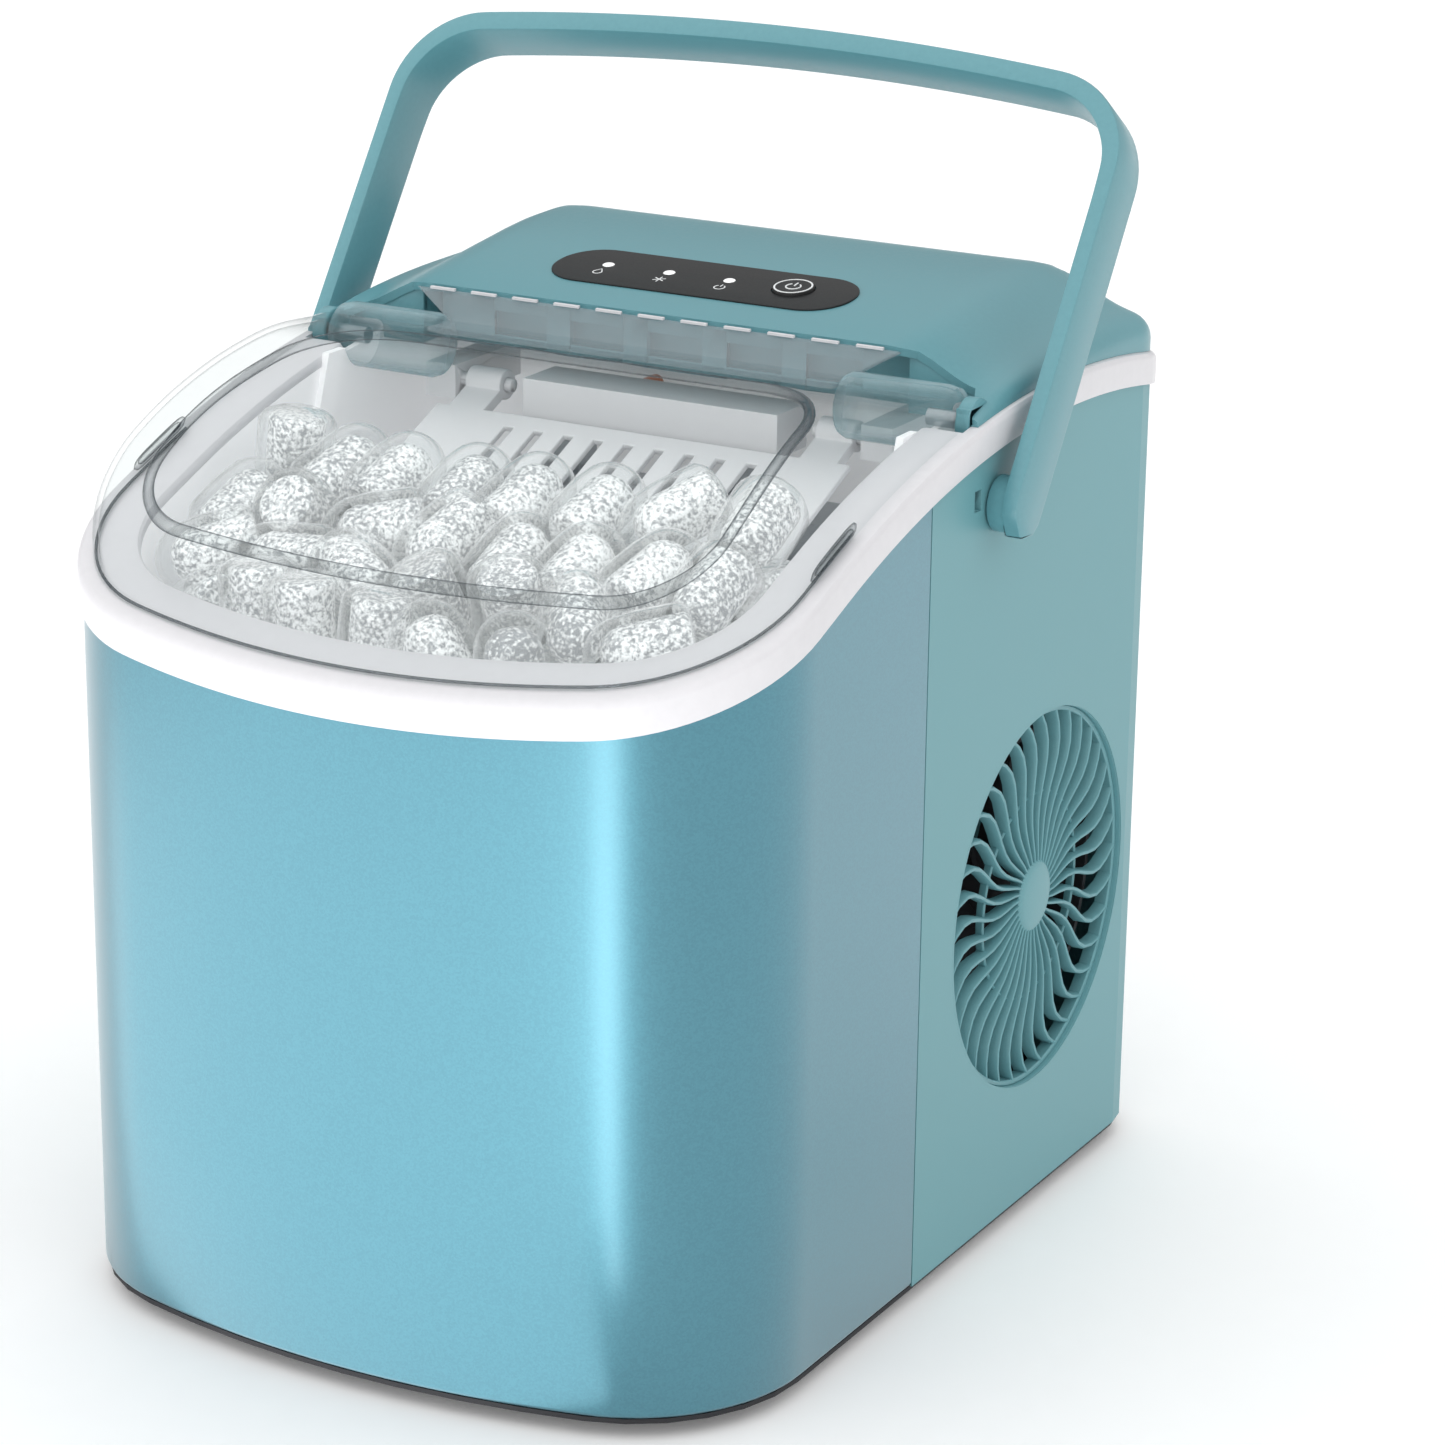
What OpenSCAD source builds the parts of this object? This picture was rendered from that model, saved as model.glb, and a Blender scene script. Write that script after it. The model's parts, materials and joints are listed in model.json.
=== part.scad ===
// Countertop bullet-ice maker, front towards -Y, vent side towards +X, standing on z = 0.
// Origin: centre of the footprint on the worktop. Millimetres.

/* [Housing] */
// Width of the housing across its flat sides
body_w = 220; // [206:1:264]
// Depth of the housing from the crown of the bowed front to the back
body_d = 287; // [275:0.2:344.4]
// Height of the rim's lower edge at its highest point
rim_z = 244.8; // [238:0.1:294]
// Radius of the bowed front in plan
bow_r = 282; // [240:1:400]
// Radius of the two front corners in plan
corner_r = 52; // [44:1:60]
// Radius of the two back corners in plan
back_r = 24; // [22:1:32]
// Height of the housing's lower edge above the worktop
base_z = 6; // [5:0.5:9]
// Thickness of the painted front wrap
wrap_t = 1.2; // [0.8:0.1:2]
// Thickness of the moulded rear housing
wall = 2.5; // [2:0.1:3]
// Distance of the wrap's side seam from the back
seam_from_back = 161.5; // [150:0.5:170]
// Width of the groove between wrap and rear housing
seam_gap = 0.6; // [0.4:0.1:1]

/* [Rim] */
// Height of the white rim band
rim_h = 9.5; // [8:0.1:12]
// How far the rim stands proud of the housing
rim_out = 1.5; // [1:0.1:2]
// Width of the rim from the housing's face to the ice well
rim_w = 16; // [14:0.1:19.2]
// Thickness of the rim's top plate
rim_t = 3; // [2.4:0.1:3.6]
// Radius of the rim's swell in side view
swell_r = 365; // [320:1:450]
// Angle at which the rim runs down to the front
swell_slope = 20.8; // [14:0.1:24]
// Distance of the swell's highest point from the back
swell_from_back = 82.5; // [70:0.5:95]

/* [Lid] */
// Thickness of the clear lid
lid_t = 2; // [1.6:0.1:2.5]
// Gap between the lid's skirt and the rim it rests above
lid_gap = 0.4; // [0.3:0.1:0.8]
// Distance of the lid's hinge line from the back
hinge_from_back = 128.5; // [124:0.5:134]
// Radius of the two hinge barrels of the lid
barrel_r = 9.5; // [8:0.1:10]
// Inner end of each hinge barrel, from the middle
barrel_x = 84; // [80:1:88]
// Radius of the steel hinge pins
hinge_pin_r = 2.5; // [1.8:0.1:3]
// Radial running clearance of hinges and shafts
run_gap = 0.05; // [0.02:0.01:0.1]

/* [Cover] */
// Half width of the raised control deck at its top
deck_x = 80; // [76:1:84]
// Tilt of the control deck towards the user, degrees
deck_tilt = 8; // [6:0.5:10]
// Height of the deck's front edge above the swell's highest point
deck_rise = 21.9; // [20:0.1:24]
// Length of the control overlay
overlay_l = 98; // [90:1:110]
// Depth of the control overlay from front to back
overlay_w = 27; // [22:0.5:30]
// Radius of the power button
button_r = 6.2; // [5:0.1:7]
// Travel of the power button
button_travel = 0.8; // [0.5:0.1:1]

/* [Handle] */
// Gap between the housing and the inside of each handle arm
arm_gap = 5.4; // [4.4:0.1:7]
// Thickness of the handle's strap
strap_t = 4.9; // [4.4:0.1:6]
// Width of the handle's strap
strap_w = 18.5; // [16:0.5:22]
// Height of the handle's crown above its pivots
handle_reach = 131.4; // [126:0.2:150]
// Radius of the handle's two upper corners
handle_corner_r = 28; // [20:1:34]
// Radius of the pins that the handle turns on
handle_pin_r = 4; // [3:0.1:5]
// Angle at which the handle leans back from upright
handle_lean = 34.6; // [20:0.2:45]
// Distance of the handle's pivots from the back
pivot_from_back = 121.5; // [116:0.5:128]
// Depth of the handle's pivots below the rim's highest lower edge
pivot_drop = 17.8; // [16:0.2:24]

/* [Fan vent] */
// Radius of the round vent in the right side
vent_r = 56.7; // [47.2:0.05:58]
// Distance of the vent's centre from the back
vent_from_back = 83.5; // [80:0.5:90]
// Height of the vent's centre above the worktop
vent_z = 99; // [92:0.5:104]
// Number of swirled fins in the vent
fin_count = 44; // [24:1:50]
// Radius of the vent's hub
vent_hub_r = 13; // [9:0.5:16]
// Tip radius of the fan
fan_r = 45; // [38:0.5:47]

/* [Ice works] */
// Distance of the ice well's back wall from the back
well_from_back = 84; // [82:0.5:88]
// Distance of the water tank's back wall from the back
tank_from_back = 151.5; // [148:0.5:156]
// Wall of the white ice well
well_t = 2; // [1.6:0.1:2.6]
// Floor height of the water tank
tank_z = 60; // [54:1:66]
// Depth of the evaporator chamber's floor below the rim's highest lower edge
chamber_drop = 78.8; // [77:0.2:85]
// Gap between the well and the basket that drops into it
basket_gap = 3.5; // [2:0.5:6]
// Wall of the ice basket
basket_t = 1.8; // [1.4:0.1:2.4]
// Height of the ice basket
basket_h = 74; // [60:1:80]
// Depth of the basket's underside below the rim's highest lower edge
basket_drop = 132.8; // [125:0.2:136]
// Inside radius of the tilting water tray
tray_r = 29.5; // [28:0.1:30]
// Half length of the water tray
tray_x = 72; // [64:0.5:76]
// Radius of one freezing finger
finger_r = 5; // [4:0.1:6]
// Length of one freezing finger
finger_l = 24; // [20:0.5:25]
// Half width of the slotted ice shovel
shovel_x = 68; // [60:0.5:72]

/* [Underneath and back] */
// Radius of a rubber foot
foot_r = 10; // [8:0.5:12]
// Radius of the tank's drain spout
drain_r = 6; // [5:0.5:8]
// Radius of the mains lead's hole in its gland
gland_r = 3.6; // [3:0.1:4.2]

/* [Hidden] */
$fn = 48;

far = 400;
side_x = body_w / 2;
back_y = body_d / 2;
front_y = -body_d / 2;
seam_y = back_y - seam_from_back;
swell_y = back_y - swell_from_back;
hinge_y = back_y - hinge_from_back;
hinge_z = rim_z + 5.7;
vent_y = back_y - vent_from_back;
pivot_y = back_y - pivot_from_back;
pivot_z = rim_z - pivot_drop;
well_y = back_y - well_from_back;
tank_y = back_y - tank_from_back;
chamber_z = rim_z - chamber_drop;
handle_w = body_w + 2 * (arm_gap + strap_t);

teal = "#86B4BC";
wrap_teal = "#83C4D1";
white = "#F2F1F3";
clear = [0.86, 0.9, 0.92, 0.45];
charcoal = "#45484A";
steel = "#B9BDC0";
copper = "#B4683A";
black = "#26282A";

// ---------- shared outlines ----------

// Points on an arc about c, leaving out the first or the last one where a neighbour already has it.
function arc(c, r, a0, a1, n, skip_first = 0, skip_last = 0) =
  [for (i = [skip_first : n - skip_last]) let (a = a0 + (a1 - a0) * i / n) [c.x + r * cos(a), c.y + r * sin(a)]];

// Outline with a wide arc across y = edge, two corner arcs and straight sides up to y = top.
// Returns [left side end, corner, wide arc, corner, right side end], anticlockwise.
function bowed(half_w, edge, wide_r, small_r, inset, top) =
  let (
    cx = half_w - small_r,
    wide_y = edge + wide_r,
    small_y = wide_y - sqrt(pow(wide_r - small_r, 2) - cx * cx),
    a = atan2(small_y - wide_y, cx)
  )
  concat(
    [[inset - half_w, top]],
    arc([-cx, small_y], small_r - inset, 180, 180 - a, 6, 0, 1),
    arc([0, wide_y], wide_r - inset, -180 - a, a, 8),
    arc([cx, small_y], small_r - inset, a, 0, 6, 1),
    [[half_w - inset, top]]
  );

// Plan outline of the housing, moved inwards by inset.
function plan(inset) =
  let (r = max(back_r - inset, 3), y = back_y - inset - r, x = side_x - inset - r, front = bowed(side_x, front_y,
    bow_r, corner_r, inset, y))
  concat([for (i = [1 : len(front) - 1]) front[i]],
    arc([x, y], r, 0, 90, 5, 1), arc([-x, y], r, 90, 180, 5));

// Height of the swell in side view, h above the rim's lower edge.
function swell(y, h) =
  let (r = swell_r + h, tangent_y = swell_y - r * sin(swell_slope))
  y > tangent_y
    ? rim_z - swell_r + sqrt(r * r - pow(y - swell_y, 2))
    : rim_z - swell_r + r * cos(swell_slope) - (tangent_y - y) * tan(swell_slope);

// Side-view points along the swell from y0 to y1, or only its straight run where that is all.
function swell_line(h, y0, y1, n = 12) =
  let (start = max(y0, swell_y - swell_r * sin(swell_slope)))
  concat(y0 < start ? [[y0, swell(y0, h)]] : [],
    [for (i = [0 : n]) let (y = start + (y1 - start) * i / n) [y, swell(y, h)]]);

module plan_prism(inset, z0, z1) {
  translate([0, 0, z0]) linear_extrude(z1 - z0) polygon(plan(inset));
}

// Solid with the side-view outline pts (y, z), between two x positions.
module side_prism(pts, x0, x1) {
  translate([x0, 0, 0]) rotate([90, 0, 90]) linear_extrude(x1 - x0) polygon(pts);
}

// Everything under the swell raised by h.
module under_swell(h) {
  side_prism(concat(swell_line(h, -far, back_y + 20), [[back_y + 20, -50], [-far, -50]]), -far, far);
}

module slab(x0, x1, y0, y1, z0, z1) {
  translate([x0, y0, z0]) cube([x1 - x0, y1 - y0, z1 - z0]);
}

module rod_x(x0, x1, y, z, r) {
  translate([x0, y, z]) rotate([0, 90, 0]) cylinder(h = x1 - x0, r = r);
}

module both_sides() {
  children();
  mirror([1, 0, 0]) children();
}

// ---------- housing ----------

lip_h = rim_h - rim_t - 0.1;
seat = 0.1;

module shell(inset) {
  intersection() {
    difference() {
      plan_prism(0, base_z, rim_z + 20);
      plan_prism(inset, base_z - 1, rim_z + 21);
    }
    under_swell(lip_h);
  }
}

module drain_hole(r) {
  rod_x(-side_x - 5, -side_x + 30, drain_y, drain_z, r);
}

module front_wrap() {
  color(wrap_teal) difference() {
    shell(wrap_t);
    slab(-far, far, seam_y - seam_gap / 2, far, 0, far);
    drain_hole(drain_r + 3);
  }
}

vent_seat_t = 1;
grille_t = 3.4;
pivot_boss_r = 9;
pivot_boss_l = 8;
louvre_n = 9;
louvre_pitch = 9;

module rear_housing() {
  color(teal) difference() {
    union() {
      difference() {
        shell(wall);
        slab(-far, far, -far, seam_y + seam_gap / 2, 0, far);
        rod_x(side_x - 10, side_x + 10, vent_y, vent_z, vent_r);
      }
      seam_tongues();
      difference() {
        rod_x(side_x - wall - grille_t, side_x - wall + 0.1, vent_y, vent_z, vent_r + 2.5);
        rod_x(side_x - 10, side_x, vent_y, vent_z, vent_r);
      }
      both_sides() rod_x(side_x - wall - pivot_boss_l, side_x - wall + 0.1, pivot_y, pivot_z, pivot_boss_r);
    }
    both_sides() rod_x(side_x - 20, side_x + 1, pivot_y, pivot_z, handle_pin_r);
    both_sides() slab(side_x - wall - 1, side_x + 1, pivot_y - 14, pivot_y - 10, pivot_z, pivot_z + 6);
    for (i = [0 : louvre_n - 1]) {
      slab(-45, 45, back_y - 10, back_y + 10, 70 + i * louvre_pitch, 74 + i * louvre_pitch);
      slab(-side_x - 10, -side_x + 10, 40, 100, 60 + i * louvre_pitch, 64 + i * louvre_pitch);
    }
    translate([gland_x, back_y - 10, gland_z]) rotate([-90, 0, 0]) cylinder(h = 20, r = gland_r + 3.4);
    for (p = back_screws) {
      translate([p.x, back_y - 10, p.y]) rotate([-90, 0, 0]) cylinder(h = 20, r = 1.7);
      translate([p.x, back_y - screw_head_h, p.y]) rotate([-90, 0, 0]) cylinder(h = 20, r = 3.4);
    }
  }
}

// Two tongues that reach forward behind the wrap's edges and close the seam.
module seam_tongues() {
  both_sides() intersection() {
    slab(side_x - wall, side_x - wrap_t - 0.1, seam_y - 8, seam_y + 4, base_z + 6, far);
    under_swell(lip_h - 4);
  }
}

gland_x = -70;
gland_z = 32;
screw_head_h = 1.9;
back_screws = [for (x = [-side_x + 26, side_x - 26], z = [24, rim_z - 30]) [x, z]];

pan_t = 4;
pan_flange_t = 1.4;

module base_pan() {
  color(black) difference() {
    union() {
      plan_prism(0.8, base_z - pan_flange_t, base_z);
      plan_prism(wall + seat, base_z, base_z + pan_t);
    }
    for (p = foot_spots) translate([p.x, p.y, 0]) cylinder(h = base_z + pan_t + 1, r = foot_stem_r + seat / 2);
    for (i = [-4 : 4]) slab(40 + i * 7, 43 + i * 7, -50, 20, -1, 20);
  }
}

foot_stem_r = 2.95;
foot_spots = [for (x = [-1, 1], y = [front_y + 45, back_y - 32]) [x * (side_x - 32), y]];

module rubber_feet() {
  color(black) for (p = foot_spots) translate([p.x, p.y, 0]) {
    cylinder(h = base_z - pan_flange_t, r = foot_r);
    cylinder(h = base_z + pan_t - 0.2, r = foot_stem_r);
  }
}

// Space that the lid's hinge barrels and the cover's lugs need in the rim and the well.
module hinge_notch() {
  r = barrel_r + 0.8;
  both_sides() slab(barrel_x - 18.6, side_x - wall - 0.1, hinge_y - r, hinge_y + r, hinge_z - r, far);
}

module rim_trim() {
  color(white) difference() {
    intersection() {
      plan_prism(-rim_out, 100, far);
      under_swell(rim_h);
    }
    under_swell(0);
    intersection() {
      plan_prism(-0.1, 90, far);
      under_swell(rim_h - rim_t);
    }
    plan_prism(rim_w, 90, far);
    hinge_notch();
  }
}

// ---------- ice well and basket ----------

module well_prism(inset, y_end, z0, z1) {
  intersection() {
    plan_prism(inset, z0, z1);
    slab(-far, far, -far, y_end, 0, far);
  }
}

module ice_well() {
  out = rim_w - well_t;
  color(white) difference() {
    intersection() {
      union() {
        well_prism(out, well_y + well_t, chamber_z - well_t, rim_z + 20);
        well_prism(out, tank_y + well_t, tank_z - well_t, chamber_z + 1);
        well_prism(out - 6, well_y + well_t, chamber_z - 16, rim_z + 20);
      }
      under_swell(lip_h);
    }
    well_prism(rim_w, well_y, chamber_z, rim_z + 30);
    well_prism(rim_w, tank_y, tank_z, chamber_z + 1);
    difference() {
      intersection() {
        well_prism(out - 7, well_y + well_t + 1, chamber_z - 26, far);
        under_swell(lip_h - 2);
      }
      well_prism(out, well_y + well_t, chamber_z - 36, far);
    }
    hinge_notch();
    both_sides() rod_x(side_x - rim_w - 3, side_x, sensor_y, sensor_z, sensor_r);
    rod_x(-side_x, -side_x + rim_w + 4, hose_y, hose_top_z, hose_r);
    rod_x(-side_x, -side_x + rim_w + 3, drain_y, drain_z, drain_r + 0.1);
    translate([pipe_x, well_y - 4, pipe_z]) rotate([-90, 0, 0]) cylinder(h = 10, r = pipe_r + 0.4);
  }
  color(white) both_sides()
    slab(basket_rail_x, basket_rail_x + 5, front_y + 50, tank_y - 36, tank_z - 0.05, basket_z - 0.05);
}

sensor_y = hinge_y - 23;
sensor_z = rim_z - 22;
sensor_r = 3;
hose_y = hinge_y - 19;
hose_top_z = rim_z - 33;
hose_r = 4;
drain_y = front_y + 75;
drain_z = tank_z + drain_r + 3;

basket_z = rim_z - basket_drop;
basket_back_y = hinge_y - 53.5;
basket_rail_x = side_x - rim_w - 16;

module basket_prism(inset, z0, z1) {
  well_prism(rim_w + basket_gap + inset, basket_back_y - inset, z0, z1);
}

module ice_basket() {
  color(white) difference() {
    union() {
      basket_prism(0, basket_z, basket_z + basket_h);
      basket_prism(-1.4, basket_z + basket_h - 3, basket_z + basket_h);
    }
    basket_prism(basket_t, basket_z + basket_t, basket_z + basket_h + 1);
    for (i = [-5 : 5], y = [0 : 2])
      slab(i * 11 - 2, i * 11 + 2, basket_back_y - 26 - y * 24, basket_back_y - 10 - y * 24,
        basket_z - 1, basket_z + 9);
  }
}

module infrared_sensors() {
  color(black) both_sides() rod_x(side_x - rim_w + 0.2, side_x - rim_w + 6, sensor_y, sensor_z, sensor_r - 0.05);
}

module drain_spout() {
  color(white) difference() {
    union() {
      rod_x(-side_x + 0.4, -side_x + rim_w - well_t, drain_y, drain_z, drain_r + 2.8);
      rod_x(-side_x + 4, -side_x + rim_w - 0.2, drain_y, drain_z, drain_r);
    }
    rod_x(-side_x - 1, -side_x + rim_w + 1, drain_y, drain_z, drain_r - 2);
  }
}

plug_l = 9;

module drain_plug() {
  color(black) {
    rod_x(-side_x - 1.3, -side_x + 0.1, drain_y, drain_z, drain_r + 2.6);
    rod_x(-side_x, -side_x + plug_l, drain_y, drain_z, drain_r - 2 - run_gap);
  }
}

// ---------- lid ----------

flap_top = [7, 15.3];
flap_t = 1.6;
lid_inset = 3;
// Side view of the lid's top face: distance in front of the hinge line and height above it.
lid_top = [[-3, 6.5], [15, 8], [34, 9.2], [51, 7.6], [65, 5], [82, 0.3], [97, -5.7], [112, -13.6],
  [127, -21.7], [140, -29], [152, -36.6], [170, -47.6]];

function lid_line(drop) = concat([for (p = lid_top) [hinge_y - p.x, hinge_z + p.y - drop]],
  let (p = lid_top[len(lid_top) - 1]) [[-far, hinge_z + p.y - drop - (far + hinge_y - p.x) * tan(swell_slope)]]);

// Under the lid's top face, over the swell, in front of y_end.
module lid_blank(inset, drop, floor_h, y_end) {
  intersection() {
    plan_prism(inset, rim_z - 130, far);
    side_prism(concat(lid_line(drop), [[-far, 0], [hinge_y + 3, 0]]), -far, far);
    slab(-far, far, -far, y_end, 0, far);
    difference() {
      slab(-far, far, -far, far, 0, far);
      under_swell(floor_h);
    }
  }
}

module barrels(r, x_end) {
  both_sides() rod_x(barrel_x - 18, x_end, hinge_y, hinge_z, r);
}

lug_x = side_x - wall - 4.5;

module lid() {
  edge_y = hinge_y - 8;
  color(clear) difference() {
    union() {
      difference() {
        union() {
          lid_blank(lid_inset, 0, rim_h + lid_gap, edge_y);
          intersection() {
            lid_blank(lid_inset, 0, rim_h + lid_gap, hinge_y + 3);
            slab(-lug_x + 0.6, lug_x - 0.6, -far, far, 0, far);
          }
        }
        lid_blank(lid_inset + lid_t, lid_t, -60, hinge_y + 9);
        difference() {
          slab(-far, far, edge_y, far, 0, hinge_z + 4);
          slab(-far, far, -far, edge_y + 0.01, -1, far);
        }
      }
      barrels(barrel_r, lug_x - 0.5);
      flap();
      both_sides() finger_tab();
    }
    both_sides() rod_x(lug_x - 12, lug_x, hinge_y, hinge_z, hinge_pin_r + run_gap);
    both_sides() rod_x(barrel_x - 12, lug_x - 14, hinge_y, hinge_z, barrel_r - 2.4);
  }
}

// Rear flap that rises from the lid's back edge to the deck's front edge.
module flap() {
  side_prism([
    [hinge_y + 3, hinge_z + 6.5], [hinge_y + flap_top.x, hinge_z + flap_top.y],
    [hinge_y + flap_top.x - flap_t, hinge_z + flap_top.y], [hinge_y + 3 - flap_t - 0.4, hinge_z + 6.5],
    [hinge_y - 4, hinge_z + 6.4], [hinge_y - 4, hinge_z + 4.6], [hinge_y + 3, hinge_z + 4.5]
  ], -deck_x + 1, deck_x - 1);
}

// Grip that stands out of the lid's skirt.
module finger_tab() {
  y0 = hinge_y - 90;
  y1 = hinge_y - 64;
  intersection() {
    slab(side_x - lid_inset - 1, side_x - 0.6, y0, y1, 100, far);
    side_prism(concat(swell_line(rim_h + lid_gap + 0.2, y0 - 1, y1 + 1, 3),
      [[y1 + 1, swell(y1, rim_h) + 3.4], [y0 - 1, swell(y0 - 1, rim_h) + 3.4]]), -far, far);
  }
}

module lid_hinge_pins() {
  color(steel) both_sides() rod_x(lug_x - 11, lug_x + 4, hinge_y, hinge_z, hinge_pin_r);
}

// ---------- top cover and controls ----------

// Heights of the cover's cheeks over the swell's highest point, against distance behind the hinge.
cheek = [[-12, 5.6], [-4, 8.6], [8, 11.6], [26, 14.4], [58, 16.6], [100, 16.2], [118, 13], [124, 8], [127.9, 0]];
deck_front = [hinge_y + 7.8, rim_z + deck_rise];

function cheek_line(drop) = [for (p = cheek) [hinge_y + p.x, rim_z + p.y - drop]];

// Deck in side view: it climbs at deck_tilt and then rounds over to the back.
function deck_line(drop) =
  let (y = deck_front.x, z = deck_front.y - drop, t = tan(deck_tilt))
  [[y, z], [y + 56, z + 56 * t], [y + 72, z + 72 * t - 1.4], [y + 86, z + 82 * t - 3.6], [y + 102, z + 82 * t - 8.6],
    [y + 112, z + 82 * t - 15], [y + 118, z + 82 * t - 22]];

module cheek_solid(inset, drop, y_start) {
  intersection() {
    plan_prism(inset, rim_z - 40, far);
    side_prism(concat(cheek_line(drop), [[back_y, rim_z - 30], [hinge_y - 12, rim_z - 30]]), -far, far);
    slab(-far, far, y_start, far, 0, far);
  }
}

module deck_solid(grow) {
  top = rim_z + 40;
  foot = rim_z + 6;
  half = deck_x + grow;
  intersection() {
    side_prism(concat(deck_line(-grow), [[deck_front.x + 118, foot], [deck_front.x - 20, foot],
      [deck_front.x - 20, deck_line(-grow)[0].y]]), -far, far);
    translate([0, far, 0]) rotate([90, 0, 0]) linear_extrude(2 * far)
      polygon([[-half - 22, foot - 1], [-half, foot + 23], [-half, top], [half, top], [half, foot + 23],
        [half + 22, foot - 1]]);
    slab(-far, far, deck_front.x + (grow < 0 ? -30 : 0), deck_front.x + 118 + grow, 0, far);
  }
}

// Frame of the control deck: origin on its face at the middle of the overlay, z outwards.
module on_deck() {
  reach = 29;
  translate([0, deck_front.x + reach, deck_front.y + reach * tan(deck_tilt)]) rotate([deck_tilt, 0, 0]) children();
}

led_spots = [[-32.5, 1], [-12, 1], [8, 1]];
button_spot = [29, 1];
button_gap = 0.3;
cover_inset = 0.4;
flap_clear = 0.6;

module top_cover() {
  flap_sweep = norm(flap_top) + flap_clear;
  color(teal) difference() {
    union() {
      difference() {
        union() {
          cheek_solid(cover_inset, 0, -far);
          deck_solid(0);
        }
        cheek_solid(cover_inset + wall, wall, hinge_y + barrel_r + 4);
        deck_solid(-wall);
        under_swell(rim_h);
        slab(-lug_x, lug_x, -far, hinge_y, 0, far);
        slab(-side_x + lid_inset - 0.4, side_x - lid_inset + 0.4, -far, hinge_y - 7.2, 0, far);
      }
      slab(-deck_x + 1, deck_x - 1, hinge_y + 20, hinge_y + 22, rim_z + 2.4, rim_z + 22);
      both_sides() {
        rod_x(lug_x, side_x - wall - 0.2, hinge_y, hinge_z, 7);
        slab(lug_x, side_x - wall - 0.2, hinge_y - 6, hinge_y + 7, hinge_z, rim_z + 10.5);
      }
    }
    barrels(barrel_r + 0.7, lug_x);
    rod_x(-deck_x, deck_x, hinge_y, hinge_z, flap_sweep);
    both_sides() rod_x(lug_x - 1, lug_x + 4, hinge_y, hinge_z, hinge_pin_r);
    on_deck() {
      translate([button_spot.x, button_spot.y, -10]) cylinder(h = 20, r = button_r + button_gap);
      for (p = led_spots) translate([p.x, p.y, -10]) cylinder(h = 20, r = 1.9);
    }
    for (i = [-2 : 2]) slab(i * 26 - 9, i * 26 + 9, hinge_y + 19, hinge_y + 23, rim_z + 6, rim_z + 13);
  }
}

overlay_t = 0.5;
overlay_r = 12;

module control_overlay() {
  color(charcoal) on_deck() difference() {
    translate([0, 0, 0.02]) linear_extrude(overlay_t) polygon(concat(
      arc([overlay_l / 2 - overlay_r, overlay_r - overlay_w / 2], overlay_r, -90, 0, 8),
      arc([overlay_l / 2 - overlay_r, overlay_w / 2 - overlay_r], overlay_r, 0, 90, 8),
      arc([overlay_r - overlay_l / 2, overlay_w / 2 - overlay_r], overlay_r, 90, 180, 8),
      arc([overlay_r - overlay_l / 2, overlay_r - overlay_w / 2], overlay_r, 180, 270, 8)));
    translate([button_spot.x, button_spot.y, -1]) cylinder(h = 4, r = button_r + button_gap);
    for (p = led_spots) translate([p.x, p.y, -1]) cylinder(h = 4, r = 1.9);
  }
}

module indicator_lenses() {
  color(white) on_deck() for (p = led_spots) translate([p.x, p.y, -board_depth + 1.7]) {
    cylinder(h = board_depth - 1.7 + overlay_t + 0.1, r = 1.8);
    cylinder(h = board_depth - wall - 2, r = 2.6);
  }
}

board_depth = 10;
switch_h = 3;

module control_board() {
  color("#2E6B45") on_deck() translate([-50, -14, -board_depth]) cube([100, 28, 1.6]);
  color(black) on_deck()
    translate([button_spot.x - 3, button_spot.y - 3, -board_depth + 1.6]) cube([6, 6, switch_h]);
  color(white) both_sides() on_deck()
    translate([44, 8, -board_depth + 1.6]) cylinder(h = board_depth - 1.6 - wall - 0.1, r = 3);
}

module power_button() {
  color(charcoal) on_deck() translate([button_spot.x, button_spot.y, 0]) {
    translate([0, 0, -board_depth + 1.6 + switch_h + button_travel + 0.3])
      cylinder(h = board_depth - 1.6 - switch_h - button_travel - 0.3 + overlay_t + 1, r = button_r);
  }
}

// ---------- handle ----------

pivot_gap = 0.4;

// The bail lies flat in its own frame: origin at the pivots, z towards the crown, y across the strap.
module handle() {
  half = handle_w / 2;
  crown_r = 865;
  outer = bowed(half, -handle_reach, crown_r, handle_corner_r, 0, strap_w);
  inner = bowed(half, -handle_reach, crown_r, handle_corner_r, strap_t, strap_w + 1);
  color(teal) translate([0, pivot_y, pivot_z]) rotate([-handle_lean, 0, 0]) difference() {
    union() {
      intersection() {
        translate([0, far / 2, 0]) rotate([90, 0, 0]) linear_extrude(far) difference() {
          polygon([for (p = outer) [p.x, -p.y]]);
          translate([0, -crown_extra]) polygon([for (p = inner) [p.x, -p.y]]);
        }
        union() {
          rod_x(-far, far, 0, 0, strap_w / 2);
          slab(-far, far, -strap_w / 2, strap_w / 2, 0, far);
        }
      }
      both_sides() rod_x(side_x + pivot_gap, half - strap_t + 0.1, 0, 0, 8);
    }
    both_sides() rod_x(side_x - 1, half - 1.6, 0, 0, handle_pin_r + run_gap);
  }
}

crown_extra = 1.4;

module handle_pins() {
  pin_end = handle_w / 2 - 1.8;
  color(steel) both_sides() {
    rod_x(side_x - wall - pivot_boss_l - 2.5, side_x - wall - pivot_boss_l, pivot_y, pivot_z, 6.5);
    rod_x(side_x - wall - pivot_boss_l - 1, pin_end, pivot_y, pivot_z, handle_pin_r);
  }
}

// ---------- vent and fan ----------

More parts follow.
